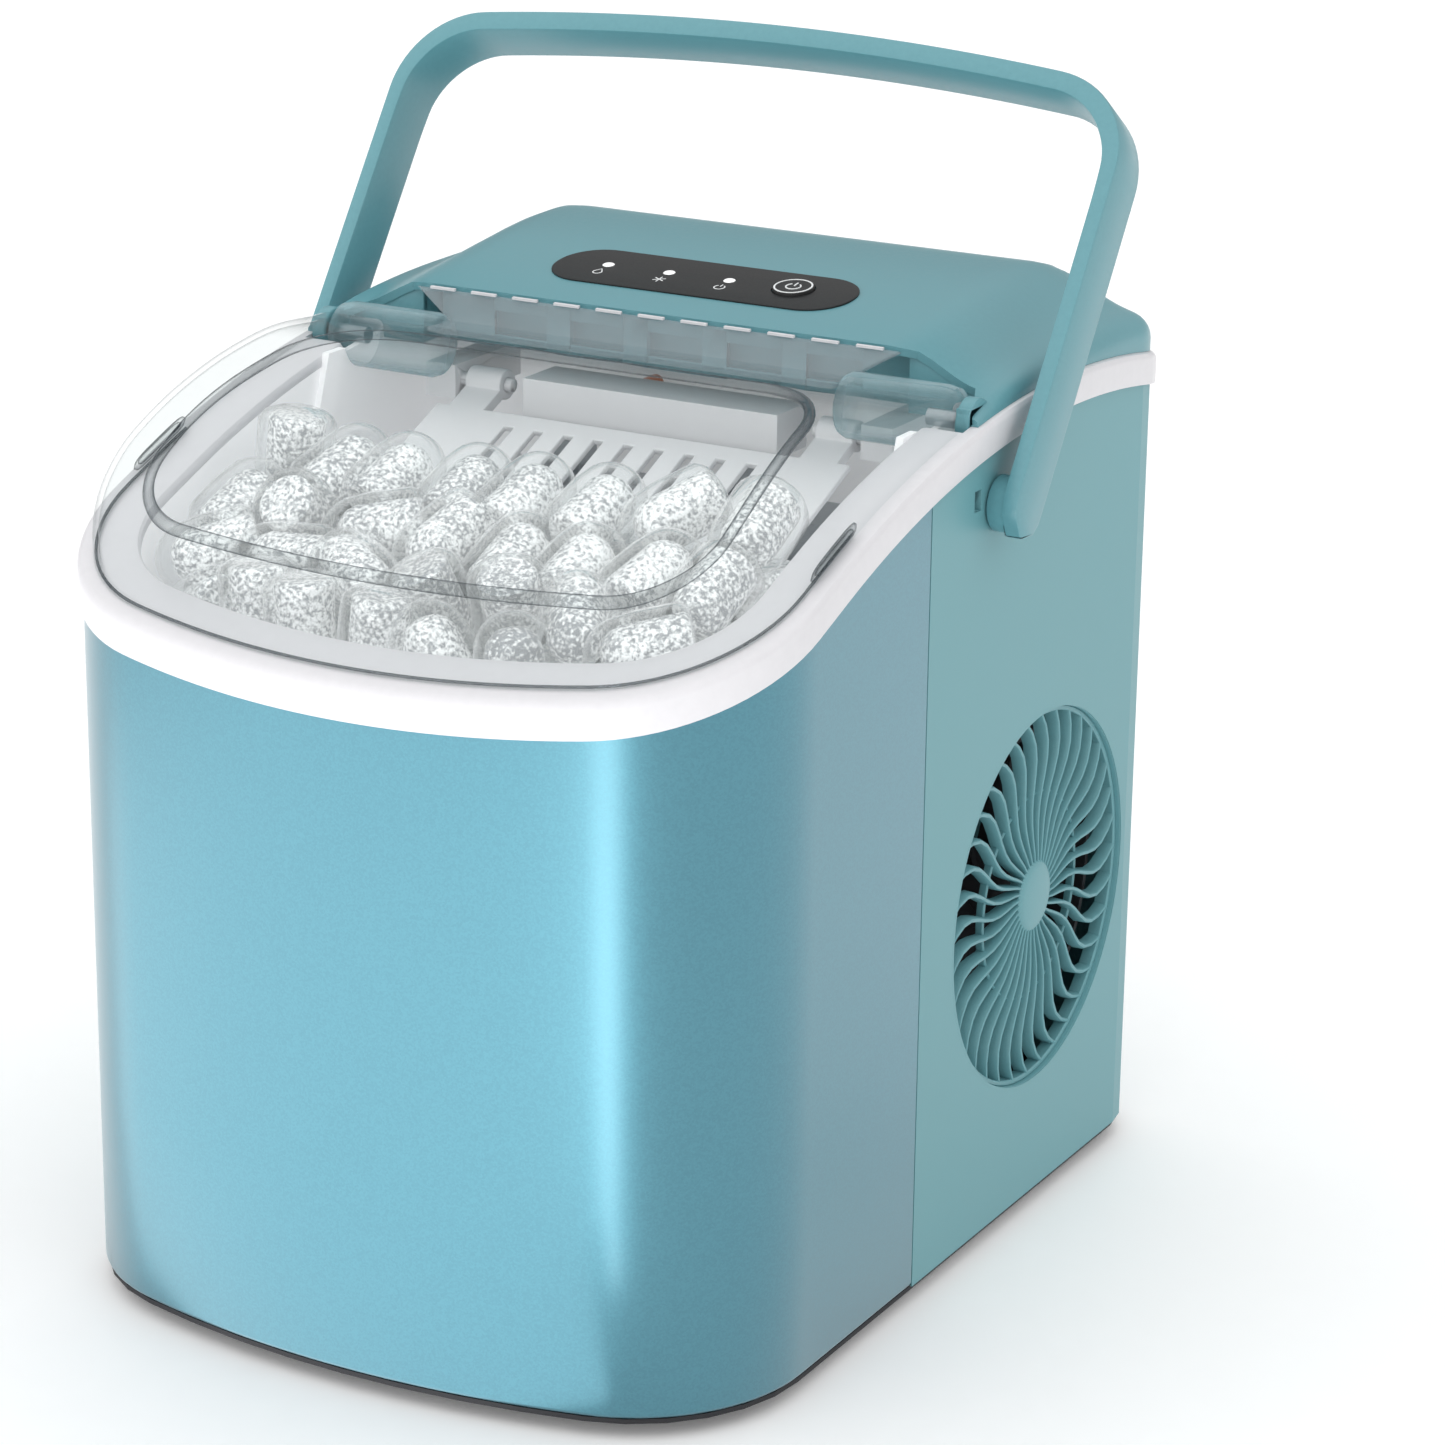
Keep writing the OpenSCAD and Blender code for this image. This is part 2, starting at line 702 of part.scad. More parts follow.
// One opening of the swirled vent between two radii, for the fin gap that starts at angle a.
function swirl(r) = 26 * (r - vent_hub_r) / (vent_r - vent_hub_r) - 10 * sin(180 * (r - vent_hub_r) / (vent_r - vent_hub_r));
function gap_edge(r0, r1, a, side, n) =
  [for (i = [0 : n]) let (r = r0 + (r1 - r0) * i / n, half = (360 / fin_count - 1.7 / r * 180 / PI) / 2,
    b = a + swirl(r) + side * half) [r * cos(b), r * sin(b)]];
function reversed(v) = [for (i = [len(v) - 1 : -1 : 0]) v[i]];
function gap_loop(r0, r1, a, n = 3) = concat(gap_edge(r0, r1, a, -1, n), reversed(gap_edge(r0, r1, a, 1, n)));

ring_at = 33;
ring_half = 0.9;

module vent_grille() {
  edge = arc([0, 0], vent_r - 0.3, 0, 360, 96, 0, 1);
  slots = concat(
    [for (i = [0 : 2 : fin_count - 1]) gap_loop(vent_hub_r + 6, ring_at - ring_half, i * 360 / fin_count)],
    [for (i = [1 : 2 : fin_count - 1]) gap_loop(vent_hub_r + 11, ring_at - ring_half, i * 360 / fin_count)],
    [for (i = [0 : fin_count - 1]) gap_loop(ring_at + ring_half, vent_r - 4.2, i * 360 / fin_count)]);
  loops = concat([edge], slots);
  starts = [for (i = 0, s = 0; i < len(loops); s = s + len(loops[i]), i = i + 1) s];
  color(teal) translate([side_x - 1.6 - grille_t, vent_y, vent_z]) rotate([90, 0, 90]) {
    linear_extrude(grille_t) polygon([for (l = loops) each l],
      [for (i = [0 : len(loops) - 1]) [for (k = [0 : len(loops[i]) - 1]) starts[i] + k]]);
    translate([0, 0, grille_t]) cylinder(h = 0.8, r = vent_hub_r - 2);
  }
}

fan_x = side_x - 28;
motor_r = 16;

module fan_rotor() {
  blades = 7;
  color(black) translate([fan_x, vent_y, vent_z]) rotate([0, 90, 0]) difference() {
    union() {
      cylinder(h = 15, r = 13);
      for (i = [0 : blades - 1]) rotate([0, 0, i * 360 / blades])
        translate([11, 0, 7.5]) rotate([38, 0, 0]) translate([0, -9, -0.7]) cube([fan_r - 12.5, 18, 1.4]);
    }
    translate([0, 0, -1]) cylinder(h = 12, r = 1.5 + run_gap);
  }
}

module fan_motor() {
  color(steel) {
    rod_x(fan_x - 18, fan_x - 1.5, vent_y, vent_z, motor_r);
    rod_x(fan_x - 2, fan_x + 9, vent_y, vent_z, 1.5);
  }
}

module fan_shroud() {
  half = fan_r + 6;
  tunnel = fan_r + 2;
  color(black) {
    difference() {
      slab(fan_x - 6, fan_x - 4, vent_y - half, vent_y + half, vent_z - half, vent_z + half);
      rod_x(fan_x - 7, fan_x, vent_y, vent_z, tunnel);
    }
    difference() {
      rod_x(fan_x - 4, side_x - wall - grille_t - 1.2, vent_y, vent_z, tunnel + 2);
      rod_x(fan_x - 5, side_x, vent_y, vent_z, tunnel);
    }
    for (a = [0 : 90 : 270]) translate([fan_x - 6, vent_y, vent_z]) rotate([a + 45, 0, 0])
      translate([0, motor_r, -2]) cube([2, tunnel - motor_r + 0.5, 4]);
    both_sides_y() slab(fan_x - 6, fan_x + 4, half - 10, half, base_z + pan_t - vent_z, 0.5 - half);
  }
}

module both_sides_y() {
  translate([0, vent_y, vent_z]) {
    children();
    mirror([0, 1, 0]) children();
  }
}

module condenser() {
  fins = 12;
  half = 46;
  x0 = fan_x - 42;
  color("#C9CCCE") for (i = [0 : fins - 1])
    slab(x0, x0 + 20, vent_y - half + i * 8, vent_y - half + i * 8 + 1, vent_z - half, vent_z + half);
  color(copper) for (z = [-30 : 20 : 30], x = [5, 15]) translate([x0 + x, vent_y - half - 3, vent_z + z])
    rotate([-90, 0, 0]) cylinder(h = 2 * half + 6, r = 3);
  color(steel) for (y = [-half - 4, half + 2])
    slab(x0, x0 + 20, vent_y + y, vent_y + y + 1.2, base_z + pan_t, vent_z + half);
}

// ---------- refrigeration ----------

comp_c = [-side_x + 64, back_y - 54];
comp_r = 40;
comp_z = base_z + pan_t + 12;

pipe_r = 2.5;
pipe_x = -20;
pipe_z = rim_z - 8.4;
socket_z = 76;
return_spot = [16, 8];

module compressor() {
  color(black) translate([comp_c.x, comp_c.y, 0]) {
    difference() {
      translate([0, 0, comp_z]) rotate_extrude() polygon([[0, 0], [22, 0], [34, 6], [comp_r, 18], [comp_r, 60],
        [34, 74], [20, 82], [0, 84]]);
      for (p = [[0, 0], return_spot]) translate([p.x, p.y, comp_z + socket_z - 0.5])
        cylinder(h = 20, r = pipe_r + 0.1);
    }
    difference() {
      translate([-50, -24, comp_z - 4]) cube([100, 48, 5]);
      for (x = [-44, 44], y = [-18, 18]) translate([x, y, comp_z - 6]) cylinder(h = 10, r = 4);
    }
    translate([comp_r - 4, -14, comp_z + 26]) cube([12, 28, 34]);
  }
}

module compressor_grommets() {
  color("#3A3A3C") for (x = [-44, 44], y = [-18, 18]) translate([comp_c.x + x, comp_c.y + y, 0]) {
    translate([0, 0, base_z + pan_t]) cylinder(h = comp_z - 4 - base_z - pan_t, r = 6.5);
    translate([0, 0, base_z + pan_t]) cylinder(h = comp_z + 3 - base_z - pan_t, r = 3.9);
  }
}

tray_y = hinge_y + 7;
tray_z = rim_z - 40.8;
plate_z = tray_z + 4;

module evaporator() {
  rows = [[5, tray_y - 6], [4, tray_y + 6]];
  pitch = 26;
  color(steel) {
    slab(-62, 62, tray_y - 12, tray_y + 12, plate_z, plate_z + 8);
    for (row = rows, i = [0 : row[0] - 1])
      translate([(i - (row[0] - 1) / 2) * pitch, row[1], plate_z - finger_l]) cylinder(h = finger_l + 1, r = finger_r);
    both_sides() slab(24, 36, tray_y, tray_y + 10, plate_z + 8, rim_z - 14.9);
  }
}

module evaporator_cover() {
  color(white) difference() {
    slab(-42, 42, tray_y - 2, tray_y + 16, rim_z - 14.8, rim_z - 1.8);
    slab(-40, 40, tray_y, tray_y + 14, rim_z - 12.8, rim_z - 4);
    translate([pipe_x, tray_y + 12, pipe_z]) rotate([-90, 0, 0]) cylinder(h = 8, r = pipe_r + 0.4);
  }
}

module pipe(points, r) {
  for (i = [0 : len(points) - 2]) {
    a = points[i];
    d = points[i + 1] - a;
    translate(a) rotate([0, acos(d.z / norm(d)), atan2(d.y, d.x)]) cylinder(h = norm(d), r = r, $fn = 24);
  }
  for (i = [1 : len(points) - 2]) translate(points[i]) sphere(r = r * 1.3, $fn = 24);
}

module refrigerant_pipes() {
  out = [comp_c.x, comp_c.y, comp_z + socket_z];
  back = [comp_c.x + return_spot.x, comp_c.y + return_spot.y, comp_z + socket_z];
  riser_y = well_y + well_t + 14;
  riser_z = rim_z - 58.8;
  return_z = vent_z + 73;
  color(copper) {
    pipe([out, [out.x, out.y, riser_z], [pipe_x, riser_y, riser_z], [pipe_x, riser_y, pipe_z],
      [pipe_x, tray_y + 10, pipe_z]], pipe_r);
    pipe([back, [back.x, back.y, return_z], [fan_x - 33, back.y, return_z], [fan_x - 33, vent_y + 20, return_z],
      [fan_x - 33, vent_y + 20, vent_z + 46.2]], pipe_r);
  }
}

// ---------- tray and shovel ----------

tray_wall = 2;

module water_tray() {
  color(white) difference() {
    union() {
      difference() {
        rod_x(-tray_x - tray_wall, tray_x + tray_wall, tray_y, tray_z, tray_r + tray_wall);
        rod_x(-tray_x, tray_x, tray_y, tray_z, tray_r);
        slab(-far, far, -far, far, tray_z - 5.5, far);
      }
      both_sides() rod_x(tray_x, tray_x + tray_wall, tray_y, tray_z, 9);
      both_sides() rod_x(tray_x + 1, tray_x + 13, tray_y, tray_z, 4);
    }
  }
}

drive_x = tray_x + 7.5;

module tray_motor() {
  color(white) difference() {
    slab(drive_x, side_x - rim_w - 0.4, tray_y - 15, tray_y + 17, tray_z - 14, tray_z + 18);
    rod_x(drive_x - 1, tray_x + 14, tray_y, tray_z, 4 + run_gap);
  }
}

module tray_bearing() {
  color(white) difference() {
    slab(-side_x + rim_w + 0.4, -drive_x, tray_y - 8, tray_y + 8, chamber_z + 0.1, tray_z + 8);
    rod_x(-tray_x - 14, 1 - drive_x, tray_y, tray_z, 4 + run_gap);
  }
}

shovel_hinge = [hinge_y + 13, rim_z - 6.8];
shovel_drop = 23;
shovel_pin_r = 2;
shovel_l = 47;

module shovel_frame() {
  translate([0, shovel_hinge.x, shovel_hinge.y]) rotate([shovel_drop, 0, 0]) children();
}

module ice_shovel() {
  arm_x = 52;
  color(white) shovel_frame() difference() {
    union() {
      slab(-shovel_x, shovel_x, -14 - shovel_l, -14, -1, 1);
      both_sides() slab(arm_x, arm_x + 12, -15, 0, -2.5, 1);
      both_sides() rod_x(arm_x, arm_x + 12, 0, 0, 4.5);
      slab(-40, 40, -14 - shovel_l, -12 - shovel_l, -4, 0);
    }
    for (i = [-4 : 4]) slab(i * 10 - 1.6, i * 10 + 1.6, -50, -20, -2, 3);
    both_sides() rod_x(arm_x - 1, arm_x + 13, 0, 0, shovel_pin_r + run_gap);
  }
}

module shovel_pins() {
  color(steel) both_sides()
    rod_x(50, shovel_x + 10, shovel_hinge.x, shovel_hinge.y, shovel_pin_r);
  color(white) both_sides() difference() {
    slab(shovel_x - 1, shovel_x + 9, shovel_hinge.x - 5, well_y - 0.1, shovel_hinge.y - 5, shovel_hinge.y + 5);
    rod_x(shovel_x - 2, shovel_x + 11, shovel_hinge.x, shovel_hinge.y, shovel_pin_r);
  }
}

// ---------- water side ----------

pump_c = [-side_x + 42, tank_y - 24];

module water_pump() {
  color(black) {
    translate([pump_c.x, pump_c.y, base_z + pan_t]) cylinder(h = 26, r = 15);
    translate([pump_c.x, pump_c.y, base_z + pan_t + 26]) cylinder(h = 10, r = 10);
    slab(pump_c.x - 18, pump_c.x + 18, pump_c.y - 8, pump_c.y + 8, base_z + pan_t, base_z + pan_t + 4);
  }
}

module pump_hose() {
  z0 = base_z + pan_t + 31;
  x = -side_x + 8.6;
  color("#DADCDD") pipe([[pump_c.x - 10.05, pump_c.y, z0], [x, pump_c.y, z0], [x, hose_y, z0], [x, hose_y, hose_top_z],
    [-tray_x + 4, hose_y, hose_top_z]], hose_r - 0.1);
}

module cord_gland() {
  color(black) translate([gland_x, back_y, gland_z]) rotate([90, 0, 0]) difference() {
    union() {
      translate([0, 0, -1.2]) cylinder(h = 1.1, r = gland_r + 5.4);
      translate([0, 0, -0.2]) cylinder(h = 12, r = gland_r + 3.3);
      translate([0, 0, wall + 0.1]) cylinder(h = 3, r = gland_r + 5.4);
    }
    translate([0, 0, -2]) cylinder(h = 20, r = gland_r);
  }
}

module housing_screws() {
  color(steel) for (p = back_screws) translate([p.x, back_y, p.y]) rotate([90, 0, 0]) {
    translate([0, 0, 0.1]) cylinder(h = screw_head_h - 0.2, r = 3.1);
    cylinder(h = 12, r = 1.6);
  }
}

front_wrap();
rear_housing();
base_pan();
rubber_feet();
rim_trim();
ice_well();
top_cover();
vent_grille();
control_overlay();
indicator_lenses();
control_board();
power_button();
lid();
lid_hinge_pins();
handle();
handle_pins();
ice_basket();
ice_shovel();
shovel_pins();
water_tray();
tray_motor();
tray_bearing();
evaporator();
evaporator_cover();
refrigerant_pipes();
compressor();
compressor_grommets();
condenser();
fan_rotor();
fan_motor();
fan_shroud();
water_pump();
pump_hose();
infrared_sensors();
drain_spout();
drain_plug();
cord_gland();
housing_screws();
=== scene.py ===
"""Looks of a countertop ice maker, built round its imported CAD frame.

Sizes are in millimetres in the classes below and are turned to metres where a mesh is made.
"""
import json
import logging
import math
from dataclasses import dataclass, field
from enum import Enum
from typing import Callable, Iterable, Sequence

import bmesh
import bpy
import numpy as np
from mathutils import Matrix, Vector


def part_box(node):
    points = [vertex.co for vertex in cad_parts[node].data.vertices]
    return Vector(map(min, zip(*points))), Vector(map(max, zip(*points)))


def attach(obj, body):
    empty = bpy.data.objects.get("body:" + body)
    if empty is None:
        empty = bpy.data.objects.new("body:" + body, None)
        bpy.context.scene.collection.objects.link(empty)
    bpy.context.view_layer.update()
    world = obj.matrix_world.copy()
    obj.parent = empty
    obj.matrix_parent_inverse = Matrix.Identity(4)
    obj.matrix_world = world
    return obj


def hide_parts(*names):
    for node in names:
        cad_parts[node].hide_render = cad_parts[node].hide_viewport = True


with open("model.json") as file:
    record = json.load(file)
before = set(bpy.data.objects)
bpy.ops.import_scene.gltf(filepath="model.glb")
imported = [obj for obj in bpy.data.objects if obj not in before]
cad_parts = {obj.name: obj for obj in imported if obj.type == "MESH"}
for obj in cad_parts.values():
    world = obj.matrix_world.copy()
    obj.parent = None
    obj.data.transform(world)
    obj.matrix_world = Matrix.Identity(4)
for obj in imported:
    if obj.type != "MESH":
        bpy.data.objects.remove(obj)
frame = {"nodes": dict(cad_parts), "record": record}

logging.basicConfig(level=logging.INFO, format="%(message)s")
LOG = logging.getLogger("ice_maker")

MM = 0.001
SHARP_DEG = 40.0
Point = tuple[float, float, float]
Flat = tuple[float, float]


# ---------- small shared tools ----------


def box_mm(node: str) -> tuple[Vector, Vector]:
    """Lowest and highest corner of a CAD node, in millimetres."""
    low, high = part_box(node)
    return low / MM, high / MM


def joint_mm(name: str) -> Vector:
    """A joint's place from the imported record, in millimetres."""
    found = next(j for j in frame["record"]["behaviour"]["joints"] if j["name"] == name)
    return Vector(found["pos_m"]) / MM


def smooth_step(value: float, low: float, high: float) -> float:
    """Runs smoothly from 0 at low to 1 at high."""
    t = min(max((value - low) / (high - low), 0.0), 1.0)
    return t * t * (3 - 2 * t)


def arc(centre: Flat, radius: float, start: float, end: float, count: int) -> list[Flat]:
    """Points on an arc, both ends included.

    Args:
        centre: The arc's centre.
        radius: Its radius.
        start: First angle in degrees.
        end: Last angle in degrees.
        count: How many steps the arc has.

    Returns:
        count + 1 points.
    """
    angles = [math.radians(start + (end - start) * i / count) for i in range(count + 1)]
    return [(centre[0] + radius * math.cos(a), centre[1] + radius * math.sin(a)) for a in angles]


class Curve:
    """A smooth height curve through given points, straight on past its ends."""

    def __init__(self, points: Sequence[Flat]) -> None:
        """Works out the slope at each point.

        Args:
            points: Places and heights, places rising.
        """
        self.x = np.array([p[0] for p in points], float)
        self.z = np.array([p[1] for p in points], float)
        steps = np.diff(self.z) / np.diff(self.x)
        self.slope = np.concatenate([[steps[0]], (steps[:-1] + steps[1:]) / 2, [steps[-1]]])

    def __call__(self, x: float) -> float:
        """Height at x."""
        if x <= self.x[0]:
            return float(self.z[0] + (x - self.x[0]) * self.slope[0])
        if x >= self.x[-1]:
            return float(self.z[-1] + (x - self.x[-1]) * self.slope[-1])
        i = int(np.searchsorted(self.x, x)) - 1
        h = self.x[i + 1] - self.x[i]
        t = (x - self.x[i]) / h
        return float((2 * t**3 - 3 * t**2 + 1) * self.z[i] + (t**3 - 2 * t**2 + t) * h * self.slope[i]
                     + (3 * t**2 - 2 * t**3) * self.z[i + 1] + (t**3 - t**2) * h * self.slope[i + 1])


class Mesh:
    """Gathers closed parts in millimetres and turns them into one object."""

    def __init__(self) -> None:
        """Starts with nothing in it."""
        self.points: list[Point] = []
        self.faces: list[tuple[int, ...]] = []

    def grid(self, rows: Sequence[Sequence[Point]], around: bool = False, along: bool = False) -> "Mesh":
        """Adds quads between rows of points.

        Args:
            rows: Rows with the same number of points.
            around: Whether each row closes on itself.
            along: Whether the last row joins the first.

        Returns:
            This mesh.
        """
        base, wide = len(self.points), len(rows[0])
        self.points += [tuple(p) for row in rows for p in row]
        for i in range(len(rows) - (0 if along else 1)):
            for j in range(wide - (0 if around else 1)):
                a, b = i * wide, ((i + 1) % len(rows)) * wide
                k = (j + 1) % wide
                self.faces.append((base + a + j, base + a + k, base + b + k, base + b + j))
        return self

    def sweep(self, sections: Sequence[Sequence[Point]], closed: bool = False) -> "Mesh":
        """Adds a tube through closed sections, capped at both ends unless it closes on itself.

        Args:
            sections: Rings of points, all with the same number.
            closed: Whether the last section joins the first.

        Returns:
            This mesh.
        """
        base, wide = len(self.points), len(sections[0])
        self.grid(sections, around=True, along=closed)
        if not closed:
            self.faces.append(tuple(base + i for i in reversed(range(wide))))
            self.faces.append(tuple(base + (len(sections) - 1) * wide + i for i in range(wide)))
        return self

    def lathe(self, profile: Sequence[Flat], place: Callable[[float, float, float], Point],
              count: int = 48) -> "Mesh":
        """Adds a turned part.

        Args:
            profile: Distance along the axis and radius, from pole to pole or a closed ring.
            place: Turns along, across and up into a point.
            count: Steps round the axis.

        Returns:
            This mesh.
        """
        rows = [[place(a, r * math.cos(t), r * math.sin(t)) for a, r in profile]
                for t in (2 * math.pi * i / count for i in range(count))]
        ring = profile[0][1] > 1e-6
        return self.grid(rows, around=ring, along=True)

    def block(self, low: Point, high: Point) -> "Mesh":
        """Adds a rectangular block from its two corners."""
        (x0, y0, z0), (x1, y1, z1) = low, high
        return self.sweep([[(x0, y0, z), (x1, y0, z), (x1, y1, z), (x0, y1, z)] for z in (z0, z1)])

    def object(self, name: str, sharp: float = 35.0) -> bpy.types.Object:
        """Makes the object, merged and with its faces outwards.

        Args:
            name: The object's name.
            sharp: Edges sharper than this many degrees stay crisp.

        Returns:
            The new object, at the origin.
        """
        data = bpy.data.meshes.new(name)
        data.from_pydata([Vector(p) * MM for p in self.points], [], self.faces)
        made = bpy.data.objects.new(name, data)
        bpy.context.scene.collection.objects.link(made)
        tidy(made, sharp)
        return made


def tidy(thing: bpy.types.Object, sharp: float = 35.0) -> None:
    """Merges doubles, drops flat faces, turns faces outwards and smooths all but sharp edges."""
    work = bmesh.new()
    work.from_mesh(thing.data)
    bmesh.ops.remove_doubles(work, verts=work.verts, dist=2e-6)
    bmesh.ops.dissolve_degenerate(work, edges=work.edges, dist=1e-6)
    bmesh.ops.recalc_face_normals(work, faces=work.faces)
    work.to_mesh(thing.data)
    work.free()
    thing.data.shade_smooth()
    thing.data.set_sharp_from_angle(angle=math.radians(sharp))


def apply_modifiers(thing: bpy.types.Object, sharp: float = SHARP_DEG) -> bpy.types.Object:
    """Turns the evaluated object into a plain mesh and takes its modifiers off."""
    thing.update_tag()
    bpy.context.view_layer.update()
    evaluated = thing.evaluated_get(bpy.context.evaluated_depsgraph_get())
    data = bpy.data.meshes.new_from_object(evaluated)
    thing.modifiers.clear()
    thing.data = data
    thing.data.shade_smooth()
    thing.data.set_sharp_from_angle(angle=math.radians(sharp))
    return thing


def bevel(thing: bpy.types.Object, width: float) -> bpy.types.Object:
    """Rounds a piece's sharp edges by a width in millimetres."""
    m = thing.modifiers.new("edges", "BEVEL")
    m.width, m.segments, m.limit_method, m.angle_limit = width * MM, 2, "ANGLE", math.radians(SHARP_DEG)
    return apply_modifiers(thing, SHARP_DEG)


def thicken(thing: bpy.types.Object, wall: float) -> bpy.types.Object:
    """Gives an open sheet a wall in millimetres, inwards from its outer face."""
    m = thing.modifiers.new("wall", "SOLIDIFY")
    m.thickness, m.offset, m.use_even_offset = wall * MM, -1.0, True
    return apply_modifiers(thing, SHARP_DEG)


def cut(thing: bpy.types.Object, cutter: Mesh) -> bpy.types.Object:
    """Cuts the closed parts of another mesh out of a piece."""
    tool = cutter.object("cutter")
    m = thing.modifiers.new("cut", "BOOLEAN")
    m.object, m.operation, m.solver = tool, "DIFFERENCE", "EXACT"
    m.use_self = True
    apply_modifiers(thing, 30)
    bpy.data.objects.remove(tool)
    return thing


def refined(node: str, width: float = 0.4, sharp: float = 30.0) -> bpy.types.Object:
    """A merged, smoothed and edge-rounded copy of a CAD node.

    Args:
        node: The CAD node to copy.
        width: Edge rounding in millimetres, or 0 for none.
        sharp: Edges sharper than this many degrees stay crisp.

    Returns:
        The copy as its own object.
    """
    source = frame["nodes"][node]
    made = bpy.data.objects.new(node + "_piece", source.data.copy())
    made.data.materials.clear()
    bpy.context.scene.collection.objects.link(made)
    work = bmesh.new()
    work.from_mesh(made.data)
    bmesh.ops.remove_doubles(work, verts=work.verts, dist=5e-6)
    if width:
        bmesh.ops.dissolve_limit(work, angle_limit=math.radians(1), verts=work.verts, edges=work.edges)
    work.to_mesh(made.data)
    work.free()
    made.data.shade_smooth()
    made.data.set_sharp_from_angle(angle=math.radians(sharp))
    if width:
        bevel(made, width)
    weigh = made.modifiers.new("normals", "WEIGHTED_NORMAL")
    weigh.keep_sharp = True
    evaluated = made.evaluated_get(bpy.context.evaluated_depsgraph_get())
    data = bpy.data.meshes.new_from_object(evaluated)
    made.modifiers.clear()
    made.data = data
    return made


# ---------- finishes ----------


def linear(code: str) -> tuple[float, float, float, float]:
    """Turns an sRGB hex colour into Blender's linear one."""
    parts = [int(code.lstrip("#")[i:i + 2], 16) / 255 for i in (0, 2, 4)]
    r, g, b = (c / 12.92 if c <= 0.04045 else ((c + 0.055) / 1.055) ** 2.4 for c in parts)
    return r, g, b, 1.0


def add(tree: bpy.types.NodeTree, kind: str, inputs: dict | None = None,
        **settings: object) -> bpy.types.Node:
    """Adds a node with its settings, and its inputs as values or as links from other sockets.

    Args:
        tree: The node tree.
        kind: Blender's name of the node type.
        inputs: Socket name or number, to a value or an output socket.
        **settings: Properties of the node.

    Returns:
        The node.
    """
    node = tree.nodes.new(kind)
    for key, value in settings.items():
        setattr(node, key, value)
    for key, value in (inputs or {}).items():
        if isinstance(value, bpy.types.NodeSocket):
            tree.links.new(value, node.inputs[key])
        else:
            node.inputs[key].default_value = value
    return node


def blank_material(name: str) -> tuple[bpy.types.Material, bpy.types.NodeTree]:
    """A new material and its empty node tree."""
    made = bpy.data.materials.new(name)
    made.use_nodes = True
    made.node_tree.nodes.clear()
    return made, made.node_tree


class Pattern(Enum):
    """What a surface's fine relief looks like."""

    FLAKE = "metal flakes under lacquer"
    GRAIN = "spark-eroded mould grain"
    ORANGE = "soft gloss ripple"
    BRUSHED = "drawn or rolled lines"
    FROST = "crushed frost"


# Sizes of the slow change of tone over an opaque piece, and of the ripples in clear plastic.
BROAD_MM = 45.0
RIPPLE_MM = 12.0


@dataclass(frozen=True)
class Finish:
    """An opaque finish: its colours, shine and fine relief.

    Attributes:
        name: The material's name.
        colour: Lighter colour of the pattern, as sRGB hex.
        shade: Darker colour of the pattern, as sRGB hex.
        roughness: Middle roughness.
        pattern: What the fine relief looks like.
        size_mm: Size of the pattern's grain.
        metallic: Share of metal.
        coat: Weight of a clear lacquer.
        ior: Refractive index.
        bump: Strength of the relief.
        spread: How far the roughness varies to either side.
        glow: Light of its own, for what stands in for light scattered inside.
        subsurface: Weight of light passing under the surface.
    """

    name: str
    colour: str
    shade: str
    roughness: float
    pattern: Pattern
    size_mm: float
    metallic: float = 0.0
    coat: float = 0.0
    ior: float = 1.5
    bump: float = 0.1
    spread: float = 0.06
    # glow: Light of its own: a lamp's light under the lenses, an even lift on the floor, and elsewhere a
    # painted glow that stands in for scattered light.
    glow: float = 0.0
    subsurface: float = 0.0

    def material(self) -> bpy.types.Material:
        """Builds the material's nodes, or gives it back if it is there."""
        known = bpy.data.materials.get(self.name)
        if known:
            return known
        made, tree = blank_material(self.name)
        frosted = self.pattern is Pattern.FROST
        stretch = (1.0, 1.0, 14.0) if self.pattern is Pattern.BRUSHED else (1.0, 1.0, 1.0)
        where = add(tree, "ShaderNodeTexCoord").outputs["Object"]
        where = add(tree, "ShaderNodeMapping", {"Vector": where, "Scale": stretch}).outputs[0]
        scale = 1 / (self.size_mm * MM)
        broad = add(tree, "ShaderNodeTexNoise", {
            "Vector": where, "Scale": 1 / (BROAD_MM * MM), "Detail": 2.0})
        if self.pattern is Pattern.FLAKE:
            flakes = add(tree, "ShaderNodeTexVoronoi", {"Vector": where, "Scale": scale}, feature="F1")
            height = flakes.outputs["Color"]
        else:
            grain = {"Vector": where, "Scale": scale, "Detail": 3.0, "Roughness": 0.6}
            height = add(tree, "ShaderNodeTexNoise", grain).outputs["Fac"]
        mixed = add(tree, "ShaderNodeMix", {"Factor": 0.75, "A": broad.outputs["Fac"], "B": height},
                    data_type="FLOAT")
        tint = add(tree, "ShaderNodeValToRGB", {"Fac": mixed.outputs[0]})
        dark, light = tint.color_ramp.elements
        # Frost gets a sharp split between white and grey, partly painted glitter.
        narrow = 0.07 if frosted else 0.2
        dark.position, light.position = 0.5 - narrow, 0.5 + narrow
        dark.color, light.color = linear(self.shade), linear(self.colour)
        rough = add(tree, "ShaderNodeMapRange", {
            "Value": mixed.outputs[0], "From Min": 0.25, "From Max": 0.75,
            "To Min": max(self.roughness - self.spread, 0.02), "To Max": self.roughness + self.spread})
        relief_mm = 0.4 if frosted else 0.15
        relief = add(tree, "ShaderNodeBump", {
            "Height": height, "Strength": self.bump, "Distance": relief_mm * MM})
        shader = add(tree, "ShaderNodeBsdfPrincipled", {
            "Base Color": tint.outputs["Color"], "Roughness": rough.outputs[0], "Normal": relief.outputs[0],
            "Metallic": self.metallic, "IOR": self.ior, "Coat Weight": self.coat, "Coat Roughness": 0.28,
            "Subsurface Weight": self.subsurface})
        shader.inputs["Subsurface Radius"].default_value = (2 * MM, 2 * MM, 2 * MM)
        # Emission: painted glow, except on the lenses over lamps and the evenly lifted floor.
        if self.glow:
            shader.inputs["Emission Color"].default_value = linear(self.colour)
            shader.inputs["Emission Strength"].default_value = self.glow
        add(tree, "ShaderNodeOutputMaterial", {"Surface": shader.outputs[0]})
        return made


